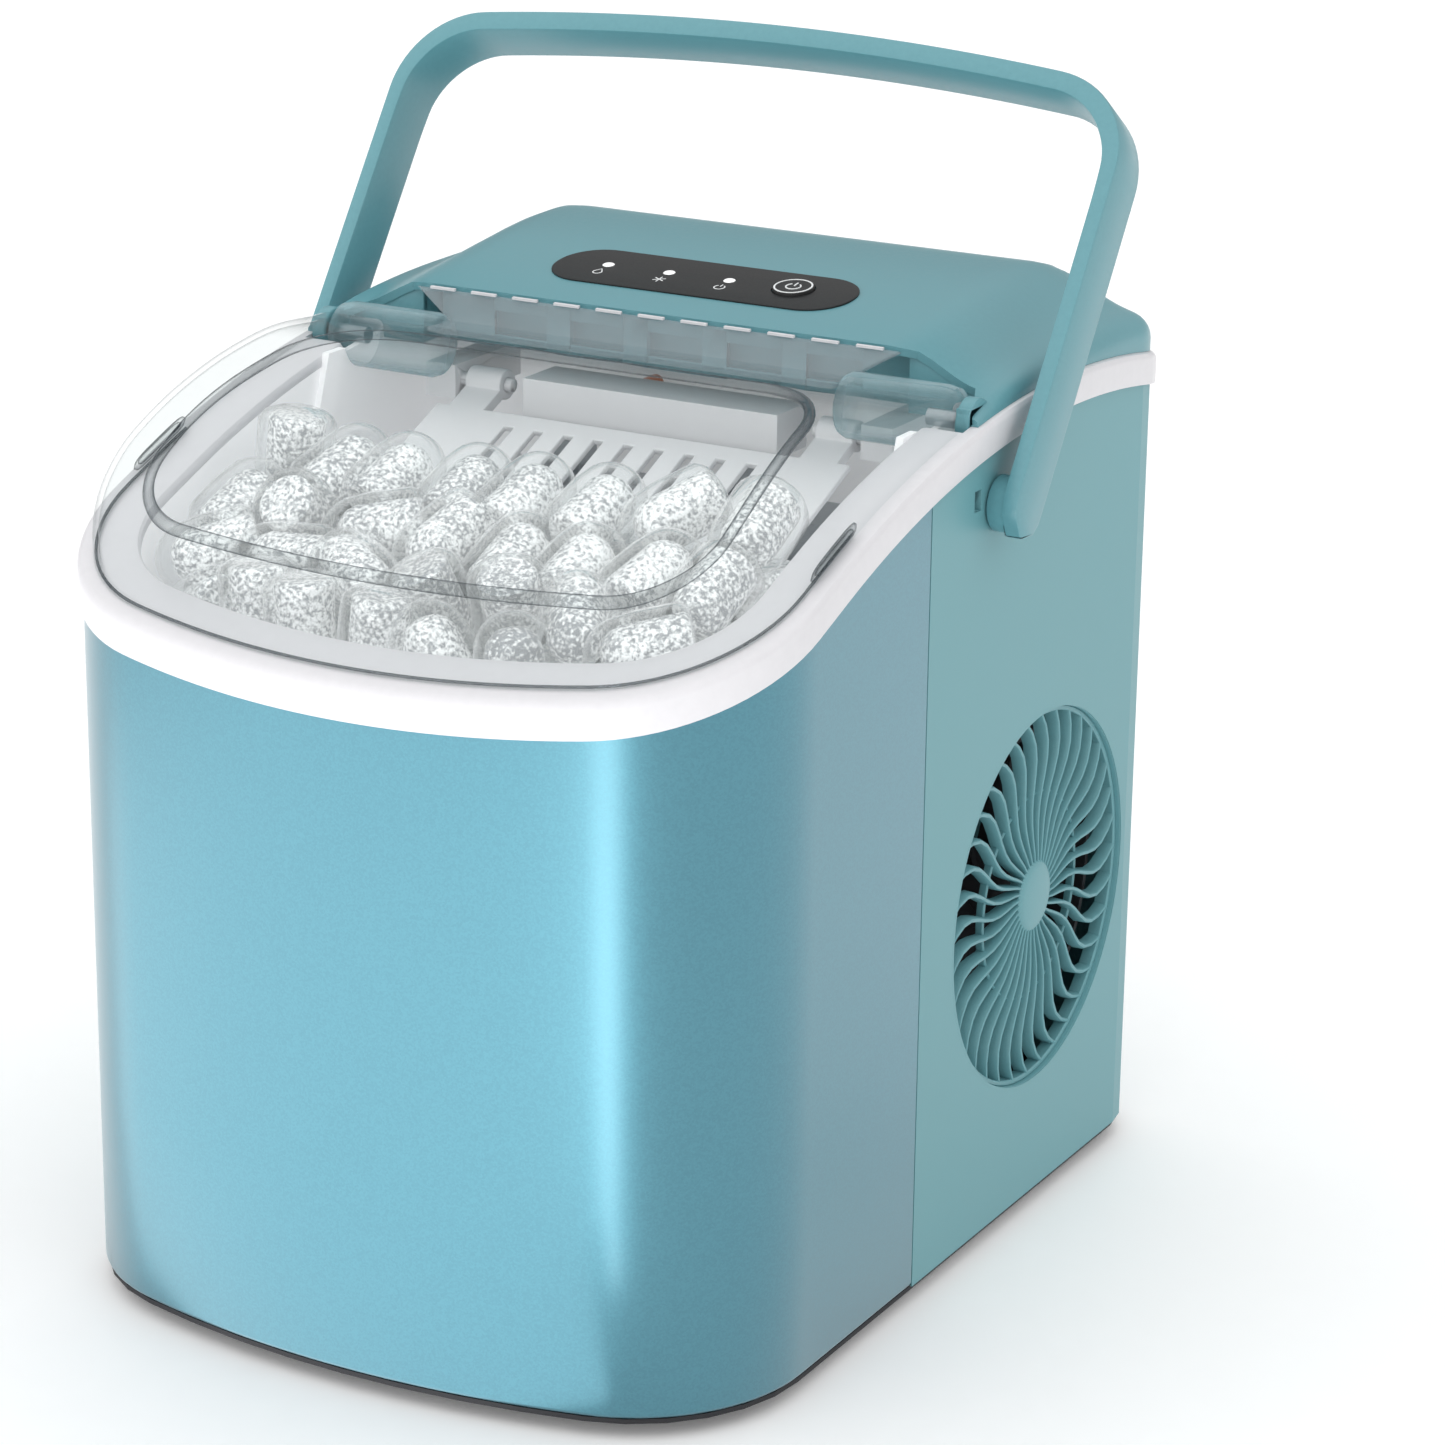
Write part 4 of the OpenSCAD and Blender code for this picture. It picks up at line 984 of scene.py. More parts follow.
@dataclass
class Controls:
    """Dark overlay on the deck with lenses, plain signs and the power button."""

    long: float = 98.0
    wide: float = 27.0
    corner: float = 13.0
    print_w: float = 0.35
    origin: Point = (0, 51.8, 266.7 + 29 * math.tan(math.radians(DECK_DEG)))
    lamps: tuple[Flat, ...] = ((-32.5, 1.0), (-12.0, 1.0), (8.0, 1.0))
    button: Flat = (29.0, 1.0)

    def on_deck(self, x: float, y: float, z: float) -> Point:
        """A point given on the deck's own plane."""
        c, s = math.cos(math.radians(DECK_DEG)), math.sin(math.radians(DECK_DEG))
        return x, self.origin[1] + y * c - z * s, self.origin[2] + y * s + z * c

    def outline(self, grow: float) -> list[Flat]:
        """The overlay's rounded outline, moved out by grow."""
        r, a, b = self.corner + grow, self.long / 2 - self.corner, self.wide / 2 - self.corner
        points: list[Flat] = []
        for cx, cy, start in ((a, -b, -90), (a, b, 0), (-a, b, 90), (-a, -b, 180)):
            points += arc((cx, cy), r, start, start + 90, 14)
        return points

    def overlay(self) -> bpy.types.Object:
        """The film, with a softened edge and the button's hole."""
        layers = [(0.0, -0.6), (0.0, 0.42), (-0.25, 0.56), (-0.6, 0.6)]
        rings = [[self.on_deck(x, y, z) for x, y in self.outline(g)] for g, z in layers]
        film = Mesh().sweep(rings).object("overlay_film", 60)
        hole = Mesh().lathe([(-6, 0), (-6, BUTTON_HOLE_R), (6, BUTTON_HOLE_R), (6, 0)],
                            lambda a, b, c: self.on_deck(self.button[0] + b, self.button[1] + c, a), 48)
        return dress(cut(film, hole), FILM)

    def stroke(self, mesh: Mesh, path: Sequence[Flat], closed: bool = False) -> None:
        """Adds one printed line along a path on the film."""
        n = len(path)
        sections = []
        for i, (x, y) in enumerate(path):
            x0, y0 = path[(i - 1) % n] if closed or i else path[0]
            x1, y1 = path[(i + 1) % n] if closed or i < n - 1 else path[-1]
            d = Vector((x1 - x0, y1 - y0)).normalized()
            nx, ny = -d.y * self.print_w / 2, d.x * self.print_w / 2
            sections.append([self.on_deck(x + nx, y + ny, 0.55), self.on_deck(x - nx, y - ny, 0.55),
                             self.on_deck(x - nx, y - ny, 0.66), self.on_deck(x + nx, y + ny, 0.66)])
        mesh.sweep(sections, closed)

    def signs(self) -> bpy.types.Object:
        """Plain signs under the lenses: a drop, an ice crystal and a switch sign."""
        mesh = Mesh()
        (dx, dy), (cx, cy), (px, py) = ((x, y - 6.0) for x, y in self.lamps)
        drop = [(dx, dy + 2.2)] + arc((dx, dy - 0.5), 1.35, 35, -215, 16)
        self.stroke(mesh, drop, closed=True)
        for a in range(0, 180, 60):
            c, s = 2.0 * math.cos(math.radians(a + 30)), 2.0 * math.sin(math.radians(a + 30))
            self.stroke(mesh, [(cx - c, cy - s), (cx + c, cy + s)])
        self.stroke(mesh, arc((px, py), 1.6, 125, 415, 20))
        self.stroke(mesh, [(px, py + 0.5), (px, py + 2.2)])
        return dress(mesh.object("panel_signs"), INK_PAINTED_GLOW)

    def button_piece(self) -> bpy.types.Object:
        """The button, slightly dished, with its lower part running in the cover."""
        bx, by = self.button
        cap = Mesh().lathe([(-4.3, 0.0), (-4.3, 6.2), (0.9, 6.2), (1.3, 6.0), (1.5, 5.6), (1.42, 4.6),
                            (1.3, 2.5), (1.25, 0.0)], lambda a, b, c: self.on_deck(bx + b, by + c, a), 56)
        return dress(cap.object("button_cap"), FILM)

    def button_mark(self) -> bpy.types.Object:
        """Ring and switch sign printed on the button."""
        bx, by = self.button
        mesh = Mesh()
        mesh.lathe([(1.4, 5.25), (1.4, 5.75), (1.56, 5.75), (1.56, 5.25)],
                   lambda a, b, c: self.on_deck(bx + b, by + c, a), 56)
        for path in (arc((bx, by), 2.2, 125, 415, 24), [(bx, by + 0.6), (bx, by + 3.0)]):
            sections = []
            for i, (x, y) in enumerate(path):
                d = Vector(path[min(i + 1, len(path) - 1)]) - Vector(path[max(i - 1, 0)])
                d = d.to_2d().normalized()
                sections.append([self.on_deck(x + s * d.y * 0.2, y - s * d.x * 0.2, h)
                                 for s, h in ((-1, 1.2), (1, 1.2), (1, 1.5), (-1, 1.5))])
            mesh.sweep(sections)
        return dress(mesh.object("button_mark"), INK_PAINTED_GLOW)

    def lenses(self) -> bpy.types.Object:
        """Three domed lenses that stand through the film."""
        mesh = Mesh()
        for x, y in self.lamps:
            mesh.lathe([(-6.0, 0.0), (-6.0, 1.85), (0.55, 1.85), (0.8, 1.5), (0.92, 0.8), (0.95, 0.0)],
                       lambda a, b, c, x=x, y=y: self.on_deck(x + b, y + c, a), 32)
        return dress(mesh.object("lamp_lenses"), LENS)

    def build(self) -> None:
        """Makes and places the controls."""
        place(self.overlay(), "housing", "overlay_film", "control_overlay")
        place(self.signs(), "housing", "overlay_film")
        place(self.lenses(), "housing", "lens_white", "indicator_lenses")
        place(self.button_piece(), "button", "overlay_film", "power_button")
        place(self.button_mark(), "button", "overlay_film")


# ---------- lid ----------


@dataclass
class Lid:
    """Clear lid: a domed sheet with a skirt, a beaded window, a rear strip, hinge ears and finger grips."""

    wall: float = 1.6
    inset: float = 3.0
    gap: float = 0.4
    edge: float = 8.0
    bead_back_y: float = -15.0
    bead_corner: float = 28.0
    profile: tuple[Flat, ...] = (
        (-3, 6.5), (15, 8), (34, 9.2), (51, 7.6), (65, 5), (82, 0.3), (97, -5.7), (112, -13.6), (127, -21.7),
        (140, -29), (152, -36.6), (170, -47.6))

    def __post_init__(self) -> None:
        """Finds the hinge line and the curve of the lid's top."""
        self.hinge = joint_mm("lid_hinge")
        self.top = Curve([(self.hinge.y - p, self.hinge.z + h) for p, h in reversed(self.profile)])

    def sheet(self) -> bpy.types.Object:
        """Skirt, rounded edge and domed top, thickened inwards."""
        end_y = self.hinge.y - 8.0

        def path(inset: float) -> list[Flat]:
            """A loop of the sheet round the front."""
            return PLAN.front_path(self.inset + inset, end_y, side=34, corner=18, bow=24)

        skirt = path(0)
        low = [SWELL(y, RIM_HIGH + self.gap) for _, y in skirt]
        radius = [min(self.edge, self.top(y) - z - 0.8) for (_, y), z in zip(skirt, low)]
        loops = [[(x, y, z) for (x, y), z in zip(skirt, low)]]
        paths = {0.0: skirt}
        for a in (0, 12, 25, 38, 52, 65, 78, 90):
            loop = []
            for i in range(len(skirt)):
                r = radius[i]
                s = round(r * (1 - math.cos(math.radians(a))), 4)
                if s not in paths:
                    paths[s] = path(s)
                x, y = paths[s][i]
                loop.append((x, y, self.top(y) - r * (1 - math.sin(math.radians(a)))))
            loops.append(loop)
        for inset in (9.5, 12.0, 16.0):
            loops.append([(x, y, self.top(y)) for x, y in path(inset)])
        mesh = Mesh().grid(loops)
        columns = 30
        mesh.grid([[(x0 * (1 - 2 * k / columns), y0, self.top(y0)) for k in range(columns + 1)]
                   for x0, y0, _ in loops[-1][:(len(skirt) + 1) // 2]])
        return dress(thicken(mesh.object("lid_sheet", 50), self.wall), CLEAR)

    def bead(self) -> bpy.types.Object:
        """The raised bead round the window, an oval section along its path."""
        r, y_back = self.bead_corner, self.bead_back_y
        plan = Plan(side_x=88, front_y=-121, back_y=0, bow_r=560, corner_r=26)
        x = plan.side_x
        path = plan.front_path(0, y_back - r, side=30, corner=22, bow=40)
        path += arc((x - r, y_back - r), r, 0, 90, 12)[1:]
        path += [((x - r) * (1 - 2 * i / 30), y_back) for i in range(1, 30)]
        path += arc((-x + r, y_back - r), r, 90, 180, 12)[:-1]
        path = [(px * (1 - 0.08 * smooth_step(py, -90, y_back)), py) for px, py in path]
        n = len(path)
        sections = []
        for i, (px, py) in enumerate(path):
            ax, ay = path[i - 1]
            bx, by = path[(i + 1) % n]
            d = Vector((bx - ax, by - ay)).normalized()
            ring = []
            for k in range(12):
                a = 2 * math.pi * k / 12
                w, h = 1.6 * math.cos(a), 1.5 * math.sin(a)
                x1, y1 = px + d.y * w, py - d.x * w
                ring.append((x1, y1, self.top(y1) + 0.5 + h))
            sections.append(ring)
        return dress(Mesh().sweep(sections, closed=True).object("lid_bead", 60), BEAD_PAINTED_SHADE)

    def rim_line(self) -> bpy.types.Object:
        """The thickened lower edge of the skirt, a small round section just above the rim's ledge."""
        path = PLAN.front_path(self.inset + self.wall / 2, self.hinge.y - 72.0, side=12, corner=20, bow=30)
        half = 0.45
        sections = []
        for x, y in path:
            across = Vector((x, y - (PLAN.front_y + 2 * PLAN.corner_r))) if y < -80 else Vector((x, 0))
            across.normalize()
            z = SWELL(y, RIM_HIGH + self.gap) + half
            ring = []
            for k in range(8):
                c, s = half * math.cos(math.tau * k / 8), half * math.sin(math.tau * k / 8)
                ring.append((x + across.x * c, y + across.y * c, z + s))
            sections.append(ring)
        return dress(Mesh().sweep(sections).object("lid_lower_edge", 60), EDGE_PAINTED_SHADE)

    def strip(self) -> bpy.types.Object:
        """The strip that bends up from the lid's back to the deck's front edge."""
        h = self.hinge
        line = [(h.y - 8.2, h.z + 7.4, 66), (h.y - 1.0, h.z + 6.9, 66), (h.y + 2.2, h.z + 7.3, 66.5),
                (h.y + 3.4, h.z + 8.6, 68), (h.y + 4.9, h.z + 11.6, 73), (h.y + 6.7, h.z + 15.1, 79)]
        rows = [[(half * (1 - 2 * k / 24), y, z) for k in range(25)] for y, z, half in line]
        return dress(thicken(Mesh().grid(rows).object("lid_rear_strip", 60), 1.5), SMOKY_PAINTED_REFLECTION)

    def ears(self) -> bpy.types.Object:
        """Hinge barrels with rounded ends."""
        mesh = Mesh()
        for side in (-1, 1):
            def spot(along: float, across: float, up: float, side: int = side) -> Point:
                """From the hinge's own axes to the machine."""
                return side * along, self.hinge.y + across, self.hinge.z + up

            mesh.lathe([(65.8, 0), (65.8, 7.2), (66.6, 8.7), (68.4, 9.5), (97.0, 9.5), (100.2, 8.8),
                        (102.0, 6.6), (102.4, 3.4), (102.4, 0)], spot)
        return dress(mesh.object("lid_ears"), EAR_PAINTED_TINT)

    def grips(self) -> bpy.types.Object:
        """Finger grips on both sides of the skirt, framed by a ridge."""
        mesh = Mesh()
        y0, y1 = self.hinge.y - 96.0, self.hinge.y - 71.0
        for side in (-1, 1):
            for low, high, proud, r0, r1 in ((0.8, 4.6, 1.1, y0, y1), (1.7, 3.7, 1.5, y0 + 2.2, y1 - 2.2)):
                sections = []
                for i in range(19):
                    t = i / 18
                    y = r0 + (r1 - r0) * t
                    squeeze = math.sqrt(max(1 - (2 * t - 1) ** 6, 0.01))
                    mid, half = (low + high) / 2, (high - low) / 2 * squeeze
                    x, z = PLAN.side_x - self.inset - 0.2, SWELL(y, RIM_HIGH + self.gap) + mid
                    ring = []
                    for k in range(10):
                        a = 2 * math.pi * k / 10
                        reach = proud if math.cos(a) > 0 else 0.6
                        ring.append((side * (x + reach * math.cos(a) * squeeze), y, z + half * math.sin(a)))
                    sections.append(ring)
                mesh.sweep(sections)
        return dress(mesh.object("lid_grips", 60), BEAD_PAINTED_SHADE)

    def marks(self) -> bpy.types.Object:
        """Short white ribs along the top of the rear strip, repeated by a node tree."""
        unit = Mesh().block((-4.2, -0.45, -0.35), (4.2, 0.45, 0.35)).object("rib_unit")
        y, z = self.hinge.y + 6.5, self.hinge.z + 15.35
        spots = [((-70 + 14 * i) * MM, y * MM, z * MM) for i in range(11)]
        turns = [(math.radians(DECK_DEG), 0.0, 0.0)] * len(spots)
        return scatter("lid_strip_ribs", spots, turns, unit, WHITE_ABS.material())

    def build(self) -> None:
        """Makes and places the lid's pieces."""
        place(self.sheet(), "lid", "clear_lid", "lid")
        for piece in (self.bead(), self.rim_line(), self.strip(), self.ears(), self.grips(), self.marks()):
            place(piece, "lid", "clear_lid")


# ---------- handle ----------


@dataclass
class Handle:
    """Carrying handle: a strap bent up over the machine, thicker across its crown, with round pivot ends."""

    arm_t: float = 4.9
    crown_t: float = 6.3
    wide: float = 18.5
    reach: float = 131.4
    corner: float = 28.0
    crown_r: float = 865.0
    lean: float = 34.6
    boss: float = 8.0

    def build(self) -> None:
        """Makes the strap and its bosses as one piece."""
        pivot = joint_mm("handle_fold")
        half = box_mm("handle")[1].x
        c, s = math.cos(math.radians(self.lean)), math.sin(math.radians(self.lean))

        def spot(x: float, across: float, up: float) -> Point:
            """From the strap's own plane to the machine."""
            return x, pivot.y + across * c + up * s, pivot.z - across * s + up * c

        plan = Plan(side_x=half, front_y=-self.reach, back_y=0, bow_r=self.crown_r, corner_r=self.corner)
        outer, inner = (plan.front_path(t, 9.2, side=30, corner=16) for t in (0, self.arm_t))
        sections = []
        for (x0, y0), (x1, y1) in zip(outer, inner):
            up0, up1 = -y0, -y1
            extra = (self.crown_t - self.arm_t) * smooth_step(up0, self.reach - 45, self.reach - 6)
            n = Vector((x1 - x0, up1 - up0)).normalized()
            x1, up1 = x1 + n.x * extra, up1 + n.y * extra
            w = self.wide / 2
            if up0 < 0:
                w = math.sqrt(max(w * w - up0 * up0, 0.8))
            r, t = 1.3, math.hypot(x1 - x0, up1 - up0)
            ring = []
            half_ring = [(0.0, w - r), (0.35, w - 0.3), (r, w), (t - r, w), (t - 0.35, w - 0.3), (t, w - r)]
            whole = half_ring + [(depth, -side) for depth, side in reversed(half_ring)]
            for depth, side in whole[-1:] + whole[:-1]:
                side = max(min(side, w), -w)
                ring.append(spot(x0 + n.x * depth, side, up0 + n.y * depth))
            sections.append(ring)
        mesh = Mesh().sweep(sections)
        for side in (-1, 1):
            def turned(along: float, across: float, up: float, side: int = side) -> Point:
                """The same for either side."""
                return spot(side * along, across, up)

            x0, x1, bore = PLAN.side_x + 0.4, half - self.arm_t + 0.2, 4.05
            r = self.boss
            mesh.lathe([(x0, bore), (x0, r - 0.6), (x0 + 0.6, r), (x1, r), (x1, bore)], turned)
        place(dress(mesh.object("carrying_handle", 45), TEAL_SATIN), "handle", "teal_abs", "handle")


# ---------- ice works ----------


@dataclass
class IceWell:
    """White well under the rim: walls round the opening, a step behind the tank, and the shovel above it."""

    wall: float = 2.0
    back_y: float = 59.5
    tank_y: float = -8.0
    chamber_z: float = 166.0
    tank_z: float = 60.0

    def ring(self, inset: float, back: float, r: float) -> list[Flat]:
        """A closed loop inside the plan that ends in a straight back wall with corners of radius r."""
        x = PLAN.side_x - inset
        path = PLAN.front_path(inset, back - r, side=26)
        path += arc((x - r, back - r), r, 0, 90, 8)[1:]
        path += [((x - r) * (1 - 2 * i / 12), back) for i in range(1, 12)]
        return path + arc((-x + r, back - r), r, 90, 180, 8)[:-1]

    def walls(self, mesh: Mesh, back: float, low: float, high: Callable[[float], float],
              corner: float) -> None:
        """Adds a closed ring of wall from a floor height up to a given height at each y."""
        inner = self.ring(RIM_WIDE, back, corner)
        outer = self.ring(RIM_WIDE - self.wall, back + self.wall, corner + self.wall)
        sections = [[(*o, low), (*o, high(o[1])), (*i, high(o[1])), (*i, low)] for o, i in zip(outer, inner)]
        mesh.sweep(sections, closed=True)

    def build(self) -> None:
        """Makes the well, its step and its guide ribs."""
        mesh = Mesh()
        self.walls(mesh, self.back_y, self.chamber_z - self.wall, lambda y: SWELL(y, 6.4), 10.0)
        self.walls(mesh, self.tank_y, self.tank_z - self.wall, lambda y: self.chamber_z, 6.0)
        x = PLAN.side_x - RIM_WIDE
        mesh.block((-x, self.tank_y, self.chamber_z - self.wall), (x, self.back_y + 0.5, self.chamber_z))
        floor = self.ring(RIM_WIDE, self.tank_y + 0.5, 6.0)
        mesh.sweep([[(*p, self.tank_z - self.wall) for p in floor], [(*p, self.tank_z) for p in floor]])
        for side in (-1, 1):
            sections = []
            for i in range(11):
                t = i / 10
                y, z = -1.0 - 15 * t - 5 * math.sin(math.pi * t) * 0.4, 249.0 - 60 * t
                xa, xb = sorted((side * (x + 0.5), side * (x - 1.8)))
                sections.append([(xa, y - 4.2, z), (xb, y - 4.2, z), (xb, y + 4.2, z), (xa, y + 4.2, z)])
            mesh.sweep(sections)
            a, b = sorted((side * 78.0, side * 83.0))
            mesh.block((a, -93.5, self.tank_z - 0.05), (b, -44.0, 111.9))
        place(dress(mesh.object("ice_well_walls", 40), WELL_PP_PAINTED_GLOW), "housing", "white_abs", "ice_well")
        for node, body, width in (("evaporator_cover", "housing", 0.8), ("ice_shovel", "shovel", 0.45),
                                  ("ice_basket", "basket", 0.5), ("shovel_pins", "housing", 0.0)):
            place(dress(refined(node, width), WHITE_PP), body, "white_abs", node)


@dataclass
class IceHeap:
    """Bullet-shaped ice heaped in the basket: clear ice round a frosted core.

    Attributes:
        radius: Outer radius of a bullet.
        long: Its whole length.
        count: How many there are.
        seed: Seed of their first places.
        low_z: Height of the basket's floor.
        tilt: Degrees that the pull leans towards the front, which heaps the ice there.
        steps: How many steps they settle for.
        inset: Distance from the housing's face to the basket's inner face.
        back_y: The basket's back wall.
        lean: How fast the heap narrows above lean_z.
        lean_z: Height above which it narrows.
    """

    radius: float = 11.3
    long: float = 30.0
    count: int = 79
    seed: int = 11
    low_z: float = 170.0
    tilt: float = 15.0
    steps: int = 500
    inset: float = 20.5
    back_y: float = -38.0
    lean: float = 0.1
    lean_z: float = 195.0

    def roof(self) -> tuple[np.ndarray, np.ndarray]:
        """Highest place of a ball at each y: under the lid's sheet, and under the heap's own slope."""
        lid = Lid()
        y = np.linspace(-150, 0, 76)
        slope = np.interp(y, (-122, -40), (212, 247))
        return y, np.minimum([lid.top(v) - 5.0 for v in y], slope) - self.radius

    def keep_in(self, p: np.ndarray, roof: tuple[np.ndarray, np.ndarray]) -> None:
        """Moves balls back inside the basket's bowed walls and under the roof.

        Args:
            p: Centres of the balls, changed in place.
            roof: Places along y, and the highest centre at each.
        """
        inset = self.inset + self.radius
        cx, wide_y = PLAN.side_x - PLAN.corner_r, PLAN.front_y + PLAN.bow_r
        small_y = wide_y - math.sqrt((PLAN.bow_r - PLAN.corner_r) ** 2 - cx * cx)
        x, y = p[:, 0], p[:, 1]
        room = PLAN.side_x - inset - np.clip(p[:, 2] - self.lean_z, 0, 60) * self.lean
        p[:, 0] = np.clip(x, -room, room)
        p[:, 1] = np.minimum(y, self.back_y - self.radius)
        corner = (np.abs(x) > cx) & (y < small_y)
        ox, oy = x - np.sign(x) * cx, y - small_y
        away = np.hypot(ox, oy)
        limit = PLAN.corner_r - inset
        scale = np.where(corner & (away > limit), limit / np.maximum(away, 1e-6), 1.0)
        p[:, 0] = np.where(corner, np.sign(x) * cx + ox * scale, p[:, 0])
        p[:, 1] = np.where(corner, small_y + oy * scale, p[:, 1])
        away = np.hypot(p[:, 0], p[:, 1] - wide_y)
        far = (~corner) & (p[:, 1] < small_y) & (away > PLAN.bow_r - inset)
        scale = np.where(far, (PLAN.bow_r - inset) / np.maximum(away, 1e-6), 1.0)
        p[:, 0] *= scale
        p[:, 1] = wide_y + (p[:, 1] - wide_y) * scale
        p[:, 2] = np.clip(p[:, 2], self.low_z + self.radius, np.interp(p[:, 1], *roof))

    def settle(self) -> tuple[np.ndarray, np.ndarray]:
        """Lets pairs of linked balls fall together until they rest.

        Returns:
            Centres in millimetres and unit directions of the bullets.
        """
        rng = np.random.default_rng(self.seed)
        n, r = self.count, self.radius
        link = self.long - 2 * r
        mid = np.column_stack([rng.uniform(-70, 70, n), rng.uniform(-108, -55, n), rng.uniform(180, 215, n)])
        way = rng.normal(size=(n, 3)) * (1, 1, 0.5)
        way /= np.linalg.norm(way, axis=1)[:, None]
        p = np.concatenate([mid - way * link / 2, mid + way * link / 2])
        pull = np.array([0, -math.sin(math.radians(self.tilt)), -math.cos(math.radians(self.tilt))]) * 0.16
        roof = self.roof()
        partner = np.concatenate([np.arange(n) + n, np.arange(n)])
        for _ in range(self.steps):
            p += pull
            d = p[:, None, :] - p[None, :, :]
            dist = np.sqrt((d**2).sum(-1)) + 1e-9
            gap = 2 * r - dist
            np.fill_diagonal(gap, 0)
            gap[np.arange(2 * n), partner] = 0
            push = np.where(gap > 0, gap, 0) * 0.32
            p += (d / dist[..., None] * push[..., None]).sum(1)
            a, b = p[:n], p[n:]
            v = b - a
            length = np.linalg.norm(v, axis=1)[:, None]
            fix = v * (length - link) / length / 2
            p[:n], p[n:] = a + fix, b - fix
            self.keep_in(p, roof)
        way = p[n:] - p[:n]
        way /= np.linalg.norm(way, axis=1)[:, None]
        return (p[:n] + p[n:]) / 2, way

    def turned(self, name: str, profile: Sequence[Flat]) -> bpy.types.Object:
        """A turned unit about the origin, its axis along Z."""
        return Mesh().lathe(profile, lambda a, b, c: (b, c, a), 22).object(name, 60)

    def bullet(self) -> bpy.types.Object:
        """Clear outside of one bullet: a dome, a slightly tapered side and a softly rounded flat end."""
        r, h = self.radius - 0.15, self.long / 2
        dome = [(h - r + r * math.sin(math.radians(a)), (r - 0.5) * math.cos(math.radians(a)))
                for a in range(0, 90, 15)]
        end = [(-h, 0.0), (-h, r - 3.4), (-h + 0.9, r - 1.3), (-h + 3.0, r), (0.0, r)]
        return self.turned("bullet_unit", end + dome + [(h, 0.0)])

    def core(self) -> bpy.types.Object:
        """Frosted middle of one bullet, where the freezing finger was."""
        h = self.long / 2
        return self.turned("core_unit", [
            (-h + 0.6, 0.0), (-h + 0.6, 7.0), (-h + 1.8, 8.2), (h - 11.0, 7.9), (h - 8.0, 6.8),
            (h - 5.6, 4.4), (h - 4.6, 0.0)])

    def build(self) -> None:
        """Makes the heap, both parts repeated on the same spots."""
        centres, ways = self.settle()
        spots = [tuple(c * MM) for c in centres]
        turns = [tuple(Vector(w).to_track_quat("Z", "Y").to_euler()) for w in ways]
        heights = centres[:, 2]
        LOG.info("ice heap: %d bullets, z %.0f to %.0f mm", len(spots), heights.min(), heights.max())
        place(scatter("ice_bullets", spots, turns, self.bullet(), ICE.material()), "basket", "white_abs")
        place(scatter("ice_cores", spots, turns, self.core(), FROST.material()), "basket", "white_abs")


# ---------- carried-over CAD nodes, stage and main ----------


CARRIED: dict[str, Finish] = {
    "base_pan": BLACK_ABS, "rubber_feet": RUBBER, "control_board": LAMINATE, "lid_hinge_pins": ZINC,
    "handle_pins": ZINC, "water_tray": WHITE_PP, "tray_motor": WHITE_PP, "tray_bearing": WHITE_PP,
    "evaporator": ZINC, "refrigerant_pipes": COPPER, "compressor": BLACK_ABS, "compressor_grommets": RUBBER,
    "condenser": ALUMINIUM, "fan_rotor": BLACK_ABS, "fan_motor": ZINC, "fan_shroud": BLACK_ABS,
    "water_pump": BLACK_ABS, "pump_hose": HOSE, "infrared_sensors": BLACK_ABS, "drain_spout": WHITE_PP,
    "drain_plug": RUBBER, "cord_gland": BLACK_ABS, "housing_screws": ZINC,
}


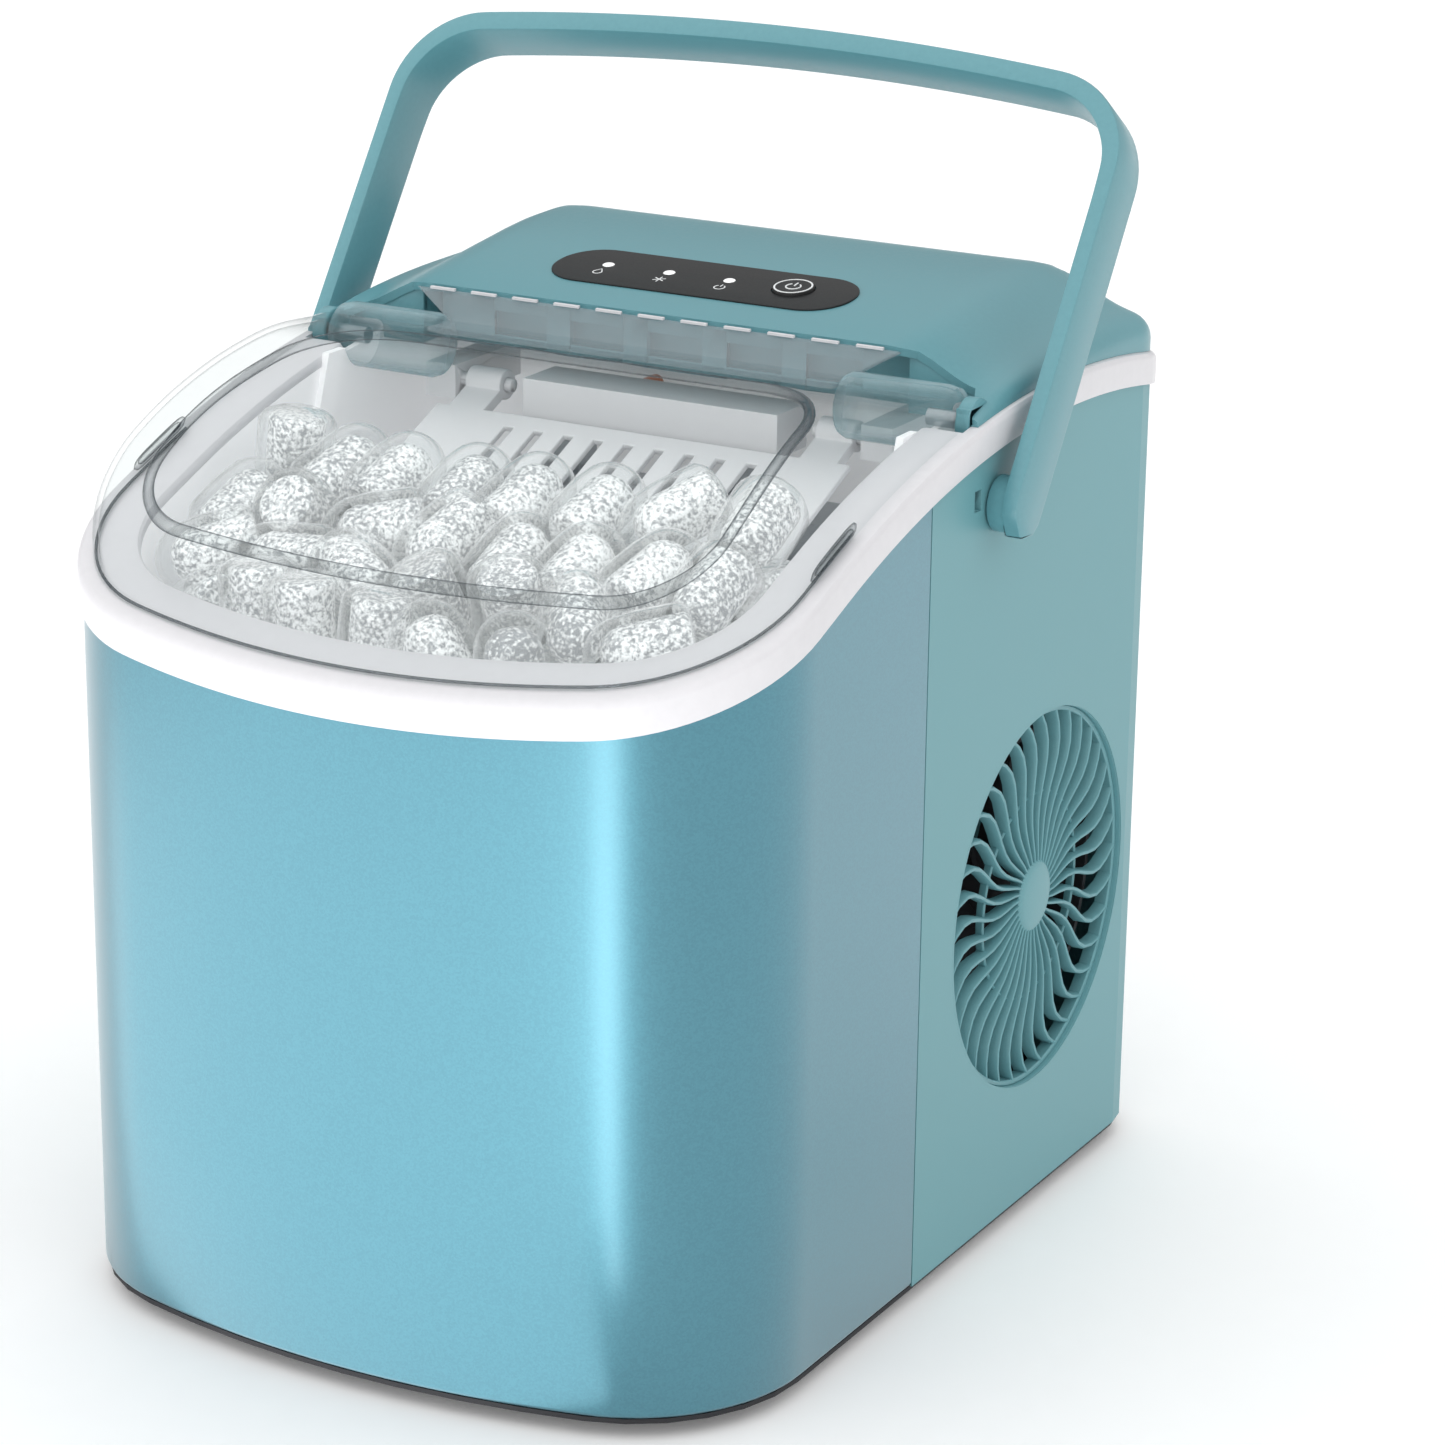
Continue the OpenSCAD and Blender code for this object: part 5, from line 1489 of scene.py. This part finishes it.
@dataclass
class Stage:
    """Pale floor, soft studio light and the camera.

    Attributes:
        eye: The camera's place in metres.
        target: The point it looks at, in metres.
        lens_mm: Its focal length on a sensor 36 mm wide.
        roll_deg: How far it is turned about its own axis.
        levels: The room's brightness by direction in degrees, from straight ahead towards the right.
        brightest: The highest of the levels.
        overhead: Share of the highest level that comes from above.
        strip_foot: Where the narrow light begins, in metres.
        strip_turn: Degrees it points round towards the right.
        strip_ends: Distances from its foot at which it widens, in metres.
        strip_glow: Its brightness.
    """

    eye: Point = (0.6162, -1.0469, 0.5477)
    target: Point = (0.02855, 0.01462, 0.15141)
    lens_mm: float = 110.48
    roll_deg: float = 0.69
    levels: tuple[Flat, ...] = (
        (-180, 0.45), (-140, 0.38), (-95, 0.6), (-60, 1.1), (-12, 1.1), (4, 1.4), (16, 1.5),
        (26, 1.0), (38, 0.7), (55, 0.55), (72, 0.65), (95, 0.8), (130, 0.8), (180, 0.5))
    brightest: float = 1.5
    overhead: float = 0.86
    strip_foot: Flat = (0.088, -0.118)
    strip_turn: float = 9.5
    strip_ends: tuple[float, ...] = (0.08, 0.16, 0.28, 0.48, 0.85)
    strip_glow: float = 5.2

    def camera(self) -> None:
        """Looks at the machine from its right front, a little above."""
        data = bpy.data.cameras.new("camera")
        data.sensor_width, data.lens = 36.0, self.lens_mm
        eye = bpy.data.objects.new("camera", data)
        eye.location = self.eye
        look = (Vector(self.target) - eye.location).to_track_quat("-Z", "Y")
        roll = Matrix.Rotation(math.radians(self.roll_deg), 4, "Z").to_quaternion()
        eye.rotation_mode = "QUATERNION"
        eye.rotation_quaternion = look @ roll
        bpy.context.scene.collection.objects.link(eye)
        bpy.context.scene.camera = eye

    def floor(self) -> None:
        """A plain pale floor."""
        mesh = Mesh().grid([[(-9000, -6000, 0), (9000, -6000, 0)], [(-9000, 12000, 0), (9000, 12000, 0)]])
        dress(mesh.object("floor"), PALE_FLOOR)

    def glow(self, name: str, spot: Flat, azimuth: float, size: Flat, power: float) -> None:
        """One soft panel of light that lies in the floor before the machine and shines up.

        Args:
            name: The lamp's name.
            spot: Its middle in metres.
            azimuth: Degrees its length points round from straight ahead towards the right side.
            size: Width and length in metres.
            power: Power in watts.
        """
        data = bpy.data.lights.new(name, "AREA")
        data.shape, data.energy = "RECTANGLE", power
        data.size, data.size_y = size
        lamp = bpy.data.objects.new(name, data)
        lamp.location = (*spot, 0.003)
        lamp.rotation_euler = (math.radians(180), 0, math.radians(azimuth))
        lamp.visible_camera = False
        bpy.context.scene.collection.objects.link(lamp)

    def strip(self) -> None:
        """A narrow wedge of light that runs away from the right corner, in pieces of equal brightness."""
        sine, cosine = math.sin(math.radians(self.strip_turn)), math.cos(math.radians(self.strip_turn))
        for i, (near, far) in enumerate(zip(self.strip_ends, self.strip_ends[1:])):
            away, long = (near + far) / 2, far - near
            wide = max(away * 0.32 - 0.025, 0.01)
            spot = (self.strip_foot[0] + away * sine, self.strip_foot[1] - away * cosine)
            power = self.strip_glow * math.pi * wide * long
            self.glow(f"strip_{i}", spot, self.strip_turn, (wide, long), power)

    def surround(self) -> None:
        """White room whose brightness varies with direction, as studio screens make it."""
        world = bpy.data.worlds.new("studio")
        bpy.context.scene.world = world
        world.use_nodes = True
        tree = world.node_tree
        tree.nodes.clear()
        way = add(tree, "ShaderNodeTexCoord").outputs["Generated"]
        split = add(tree, "ShaderNodeSeparateXYZ", {0: way})
        ahead = add(tree, "ShaderNodeMath", {0: split.outputs["Y"], 1: -1.0}, operation="MULTIPLY")
        angle = add(tree, "ShaderNodeMath", {0: split.outputs["X"], 1: ahead.outputs[0]}, operation="ARCTAN2")
        share = add(tree, "ShaderNodeMapRange", {
            "Value": angle.outputs[0], "From Min": -math.pi, "From Max": math.pi})
        ramp = add(tree, "ShaderNodeValToRGB", {"Fac": share.outputs[0]})
        line = ramp.color_ramp
        while len(line.elements) < len(self.levels):
            line.elements.new(0.5)
        for element, (degrees, level) in zip(line.elements, self.levels):
            element.position = (degrees + 180) / 360
            element.color = (*[level / self.brightest] * 3, 1)
        high = add(tree, "ShaderNodeMapRange", {
            "Value": split.outputs["Z"], "From Min": 0.35, "From Max": 0.75})
        mixed = add(tree, "ShaderNodeMix", {
            "Factor": high.outputs[0], "A": ramp.outputs["Color"], "B": (*[self.overhead] * 3, 1)},
            data_type="RGBA")
        colour = next(o for o in mixed.outputs if o.type == "RGBA")
        back = add(tree, "ShaderNodeBackground", {"Color": colour, "Strength": self.brightest})
        white = add(tree, "ShaderNodeBackground", {"Color": (1, 1, 1, 1)})
        seen = add(tree, "ShaderNodeLightPath").outputs["Is Camera Ray"]
        both = add(tree, "ShaderNodeMixShader", {0: seen, 1: back.outputs[0], 2: white.outputs[0]})
        add(tree, "ShaderNodeOutputWorld", {"Surface": both.outputs[0]})

    def build(self) -> None:
        """Sets up camera, floor and light."""
        self.camera()
        self.floor()
        self.surround()
        self.glow("broad_left", (-0.26, -0.58), 0, (0.68, 0.88), 1.9)
        self.strip()
        bpy.context.scene.view_settings.view_transform = "Standard"


def main() -> None:
    """Builds every piece in order."""
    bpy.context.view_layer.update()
    Stage().build()
    for node, finish in CARRIED.items():
        thing = frame["nodes"][node]
        thing.data.materials.clear()
        thing.data.materials.append(finish.material())
        LOG.info("%s keeps its CAD shape, in %s", node, finish.name)
    for assembly in (Housing(), SideVent(), TopCover(), Controls(), Lid(), Handle(), IceWell(), IceHeap()):
        assembly.build()


if __name__ == "__main__":
    main()
